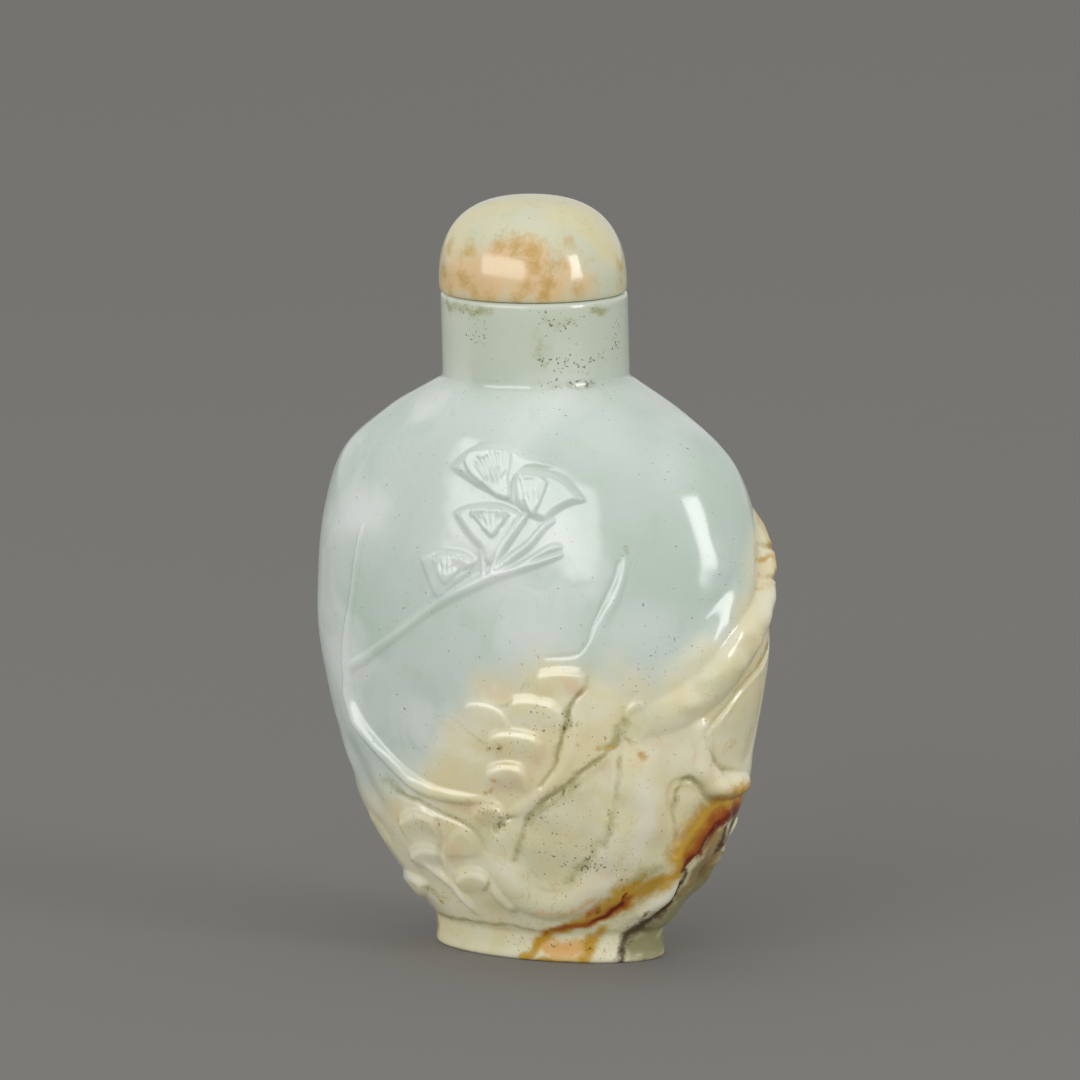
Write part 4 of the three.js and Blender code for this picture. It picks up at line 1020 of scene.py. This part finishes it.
def jade_shader(nodes, colour):
    """Polished stone that light enters, a little uneven in gloss and very slightly rippled."""
    rough = nodes.add("ShaderNodeMapRange", "Result",
                      {"Value": nodes.noise(260, 4), "To Min": POLISH[0], "To Max": POLISH[1]})
    ripple = nodes.add("ShaderNodeBump", "Normal", {
        "Height": nodes.noise(170, 2), "Strength": RIPPLE_STRENGTH, "Distance": RIPPLE_HEIGHT})
    nodes.set_inputs(nodes.shader, {
        "Base Color": colour, "IOR": JADE_IOR, "Roughness": rough, "Normal": ripple,
        "Subsurface Weight": SUBSURFACE_SHARE, "Subsurface Radius": SUBSURFACE_RADIUS,
        "Subsurface Scale": SUBSURFACE_DEPTH})


def mottled(nodes, colour, mottles):
    """The stone with its mottles laid over it."""
    for tint, strength, scale, detail, roughness, distortion, low, high in mottles:
        share = nodes.ramp(nodes.noise(scale, detail, roughness, distortion), low, high)
        colour = nodes.lay(colour, tint, share, strength)
    return colour


def stained(nodes, colour, stains):
    """The stone with its stains, and any painted shade among them, laid over it, their edges broken up by
    their grains.
    """
    grains = {grain: nodes.noise(*GRAINS[grain]) for grain in sorted({stain[2] for stain in stains})}
    for mask_name, tint, grain, swing, low, high, strength in stains:
        mask = nodes.mask(mask_name)
        edge = nodes.math("MULTIPLY", nodes.math("SUBTRACT", grains[grain], 0.5), swing)
        share = nodes.ramp(nodes.math("ADD", mask, edge), low, high)
        share = nodes.math("MULTIPLY", share, nodes.ramp(mask, 0, MASK_EDGE))
        colour = nodes.lay(colour, tint, share, strength)
    return colour


def fine_threads(nodes):
    """Thin lines where a noise crosses its middle, in some places only."""
    line = nodes.math("ABSOLUTE", nodes.math("SUBTRACT", nodes.noise(210, 5, 0.6, 1.2), 0.5))
    line = nodes.math("SUBTRACT", 1, nodes.ramp(line, 0, 0.02))
    return nodes.math("MULTIPLY", line, nodes.ramp(nodes.noise(130, 2), 0.45, 0.65))


def bottle_material():
    nodes = Nodes("carved_jadeite")
    upper = mottled(nodes, CELADON, UPPER_MOTTLES)
    upper = nodes.lay(upper, NECK_GREEN, nodes.mask("neck"), 0.7)
    lower = mottled(nodes, CREAM, LOWER_MOTTLES)
    lower = nodes.lay(lower, OCHRE, fine_threads(nodes), 0.3)
    colour = stained(nodes, nodes.mix(nodes.mask("cream"), upper, lower), BOTTLE_STAINS_AND_SHADE)
    # Dark specks, thicker where the specks mask and the olive stains are strong.
    clusters = nodes.math("ADD", nodes.mask("specks"), nodes.math("MULTIPLY", nodes.mask("olive"), 0.7))
    specks = nodes.math("ADD", nodes.noise(3300, 2, 0.55), nodes.math("MULTIPLY", clusters, 0.12))
    colour = nodes.lay(colour, SPECK, nodes.ramp(specks, 0.70, 0.76), 0.7)
    jade_shader(nodes, colour)
    return nodes.material


def stopper_material():
    nodes = Nodes("stopper_jadeite")
    colour = mottled(nodes, STOPPER_GREEN, STOPPER_CLOUDS)
    colour = stained(nodes, colour, STOPPER_STAINS)
    jade_shader(nodes, mottled(nodes, colour, STOPPER_MOTTLES))
    return nodes.material


def floor_material():
    nodes = Nodes("studio_floor")
    nodes.set_inputs(nodes.shader, {
        "Base Color": nodes.mix(nodes.noise(4, 3), FLOOR_GREY, FLOOR_PALE_GREY),
        "Roughness": 0.9, "Specular IOR Level": 0.2})
    return nodes.material


# ------------ the studio
STUDIO_MIDDLE = 35.0  # the height, in millimetres, of the point that camera and lights turn around
VIEW_TURN = 28.0
VIEW_LIFT = 9.4
VIEW_DISTANCE = 1.0
LENS = 361.7
SENSOR = 36.0
AIM_UP = 3.05         # how far the camera aims above that point, in millimetres
AIM_SIDE = -0.1       # and to its right
WORLD_GREY = 0.62
FLOOR_HALF_SIZE = 6.0  # metres

# Soft rectangular lights: turn, lift, distance, width and height in metres, and power in watts.
LIGHTS = {
    "window_box": (-10, 16.8, 1.1, 1.17, 0.44, 4.9),
    "side_strip": (84, 16, 1.1, 0.3, 0.5, 3.0),
}


def direction(turn, lift):
    """The way out from the middle at a turn around it and a lift above the level, in degrees."""
    turn, lift = math.radians(turn), math.radians(lift)
    return Vector((math.sin(turn) * math.cos(lift), -math.cos(turn) * math.cos(lift), math.sin(lift)))


def make_camera():
    camera = bpy.data.objects.new("camera", bpy.data.cameras.new("camera"))
    bpy.context.scene.collection.objects.link(camera)
    back = direction(VIEW_TURN, VIEW_LIFT)
    side = Vector((math.cos(math.radians(VIEW_TURN)), math.sin(math.radians(VIEW_TURN)), 0))
    up = back.cross(side)
    middle = Vector((axis_shift(STUDIO_MIDDLE), 0, STUDIO_MIDDLE))
    target = (middle + side * AIM_SIDE + up * AIM_UP) * MM
    camera.location = target + back * VIEW_DISTANCE
    camera.rotation_mode = "QUATERNION"
    camera.rotation_quaternion = (-back).to_track_quat("-Z", "Y")
    camera.data.sensor_width = SENSOR
    camera.data.lens = LENS
    camera.data.clip_start = 0.05
    camera.data.clip_end = 60
    bpy.context.scene.camera = camera


def make_light(name, turn, lift, distance, width, height, power):
    light = bpy.data.lights.new(name, "AREA")
    light.shape = "RECTANGLE"
    light.size, light.size_y = width, height
    light.energy = power
    lamp = bpy.data.objects.new(name, light)
    bpy.context.scene.collection.objects.link(lamp)
    way = direction(turn, lift)
    lamp.location = Vector((0, 0, STUDIO_MIDDLE * MM)) + way * distance
    lamp.rotation_mode = "QUATERNION"
    lamp.rotation_quaternion = way.to_track_quat("Z", "Y")


def make_floor():
    size = FLOOR_HALF_SIZE / MM
    floor = new_object("floor", [(-size, -size, 0), (size, -size, 0), (size, size, 0), (-size, size, 0)],
                       [[0, 1, 2, 3]])
    floor.data.materials.append(floor_material())


def make_studio():
    make_floor()
    for name, settings in LIGHTS.items():
        make_light(name, *settings)
    world = bpy.data.worlds.new("studio")
    world.use_nodes = True
    world.node_tree.nodes["Background"].inputs["Color"].default_value = (*[WORLD_GREY] * 3, 1)
    world.node_tree.nodes["Background"].inputs["Strength"].default_value = 1.0
    bpy.context.scene.world = world


bpy.context.scene.view_settings.view_transform = "Standard"
make_camera()
make_studio()
bottle = make_bottle()
bottle.data.materials.append(bottle_material())
stopper = make_stopper()
stopper.data.materials.append(stopper_material())
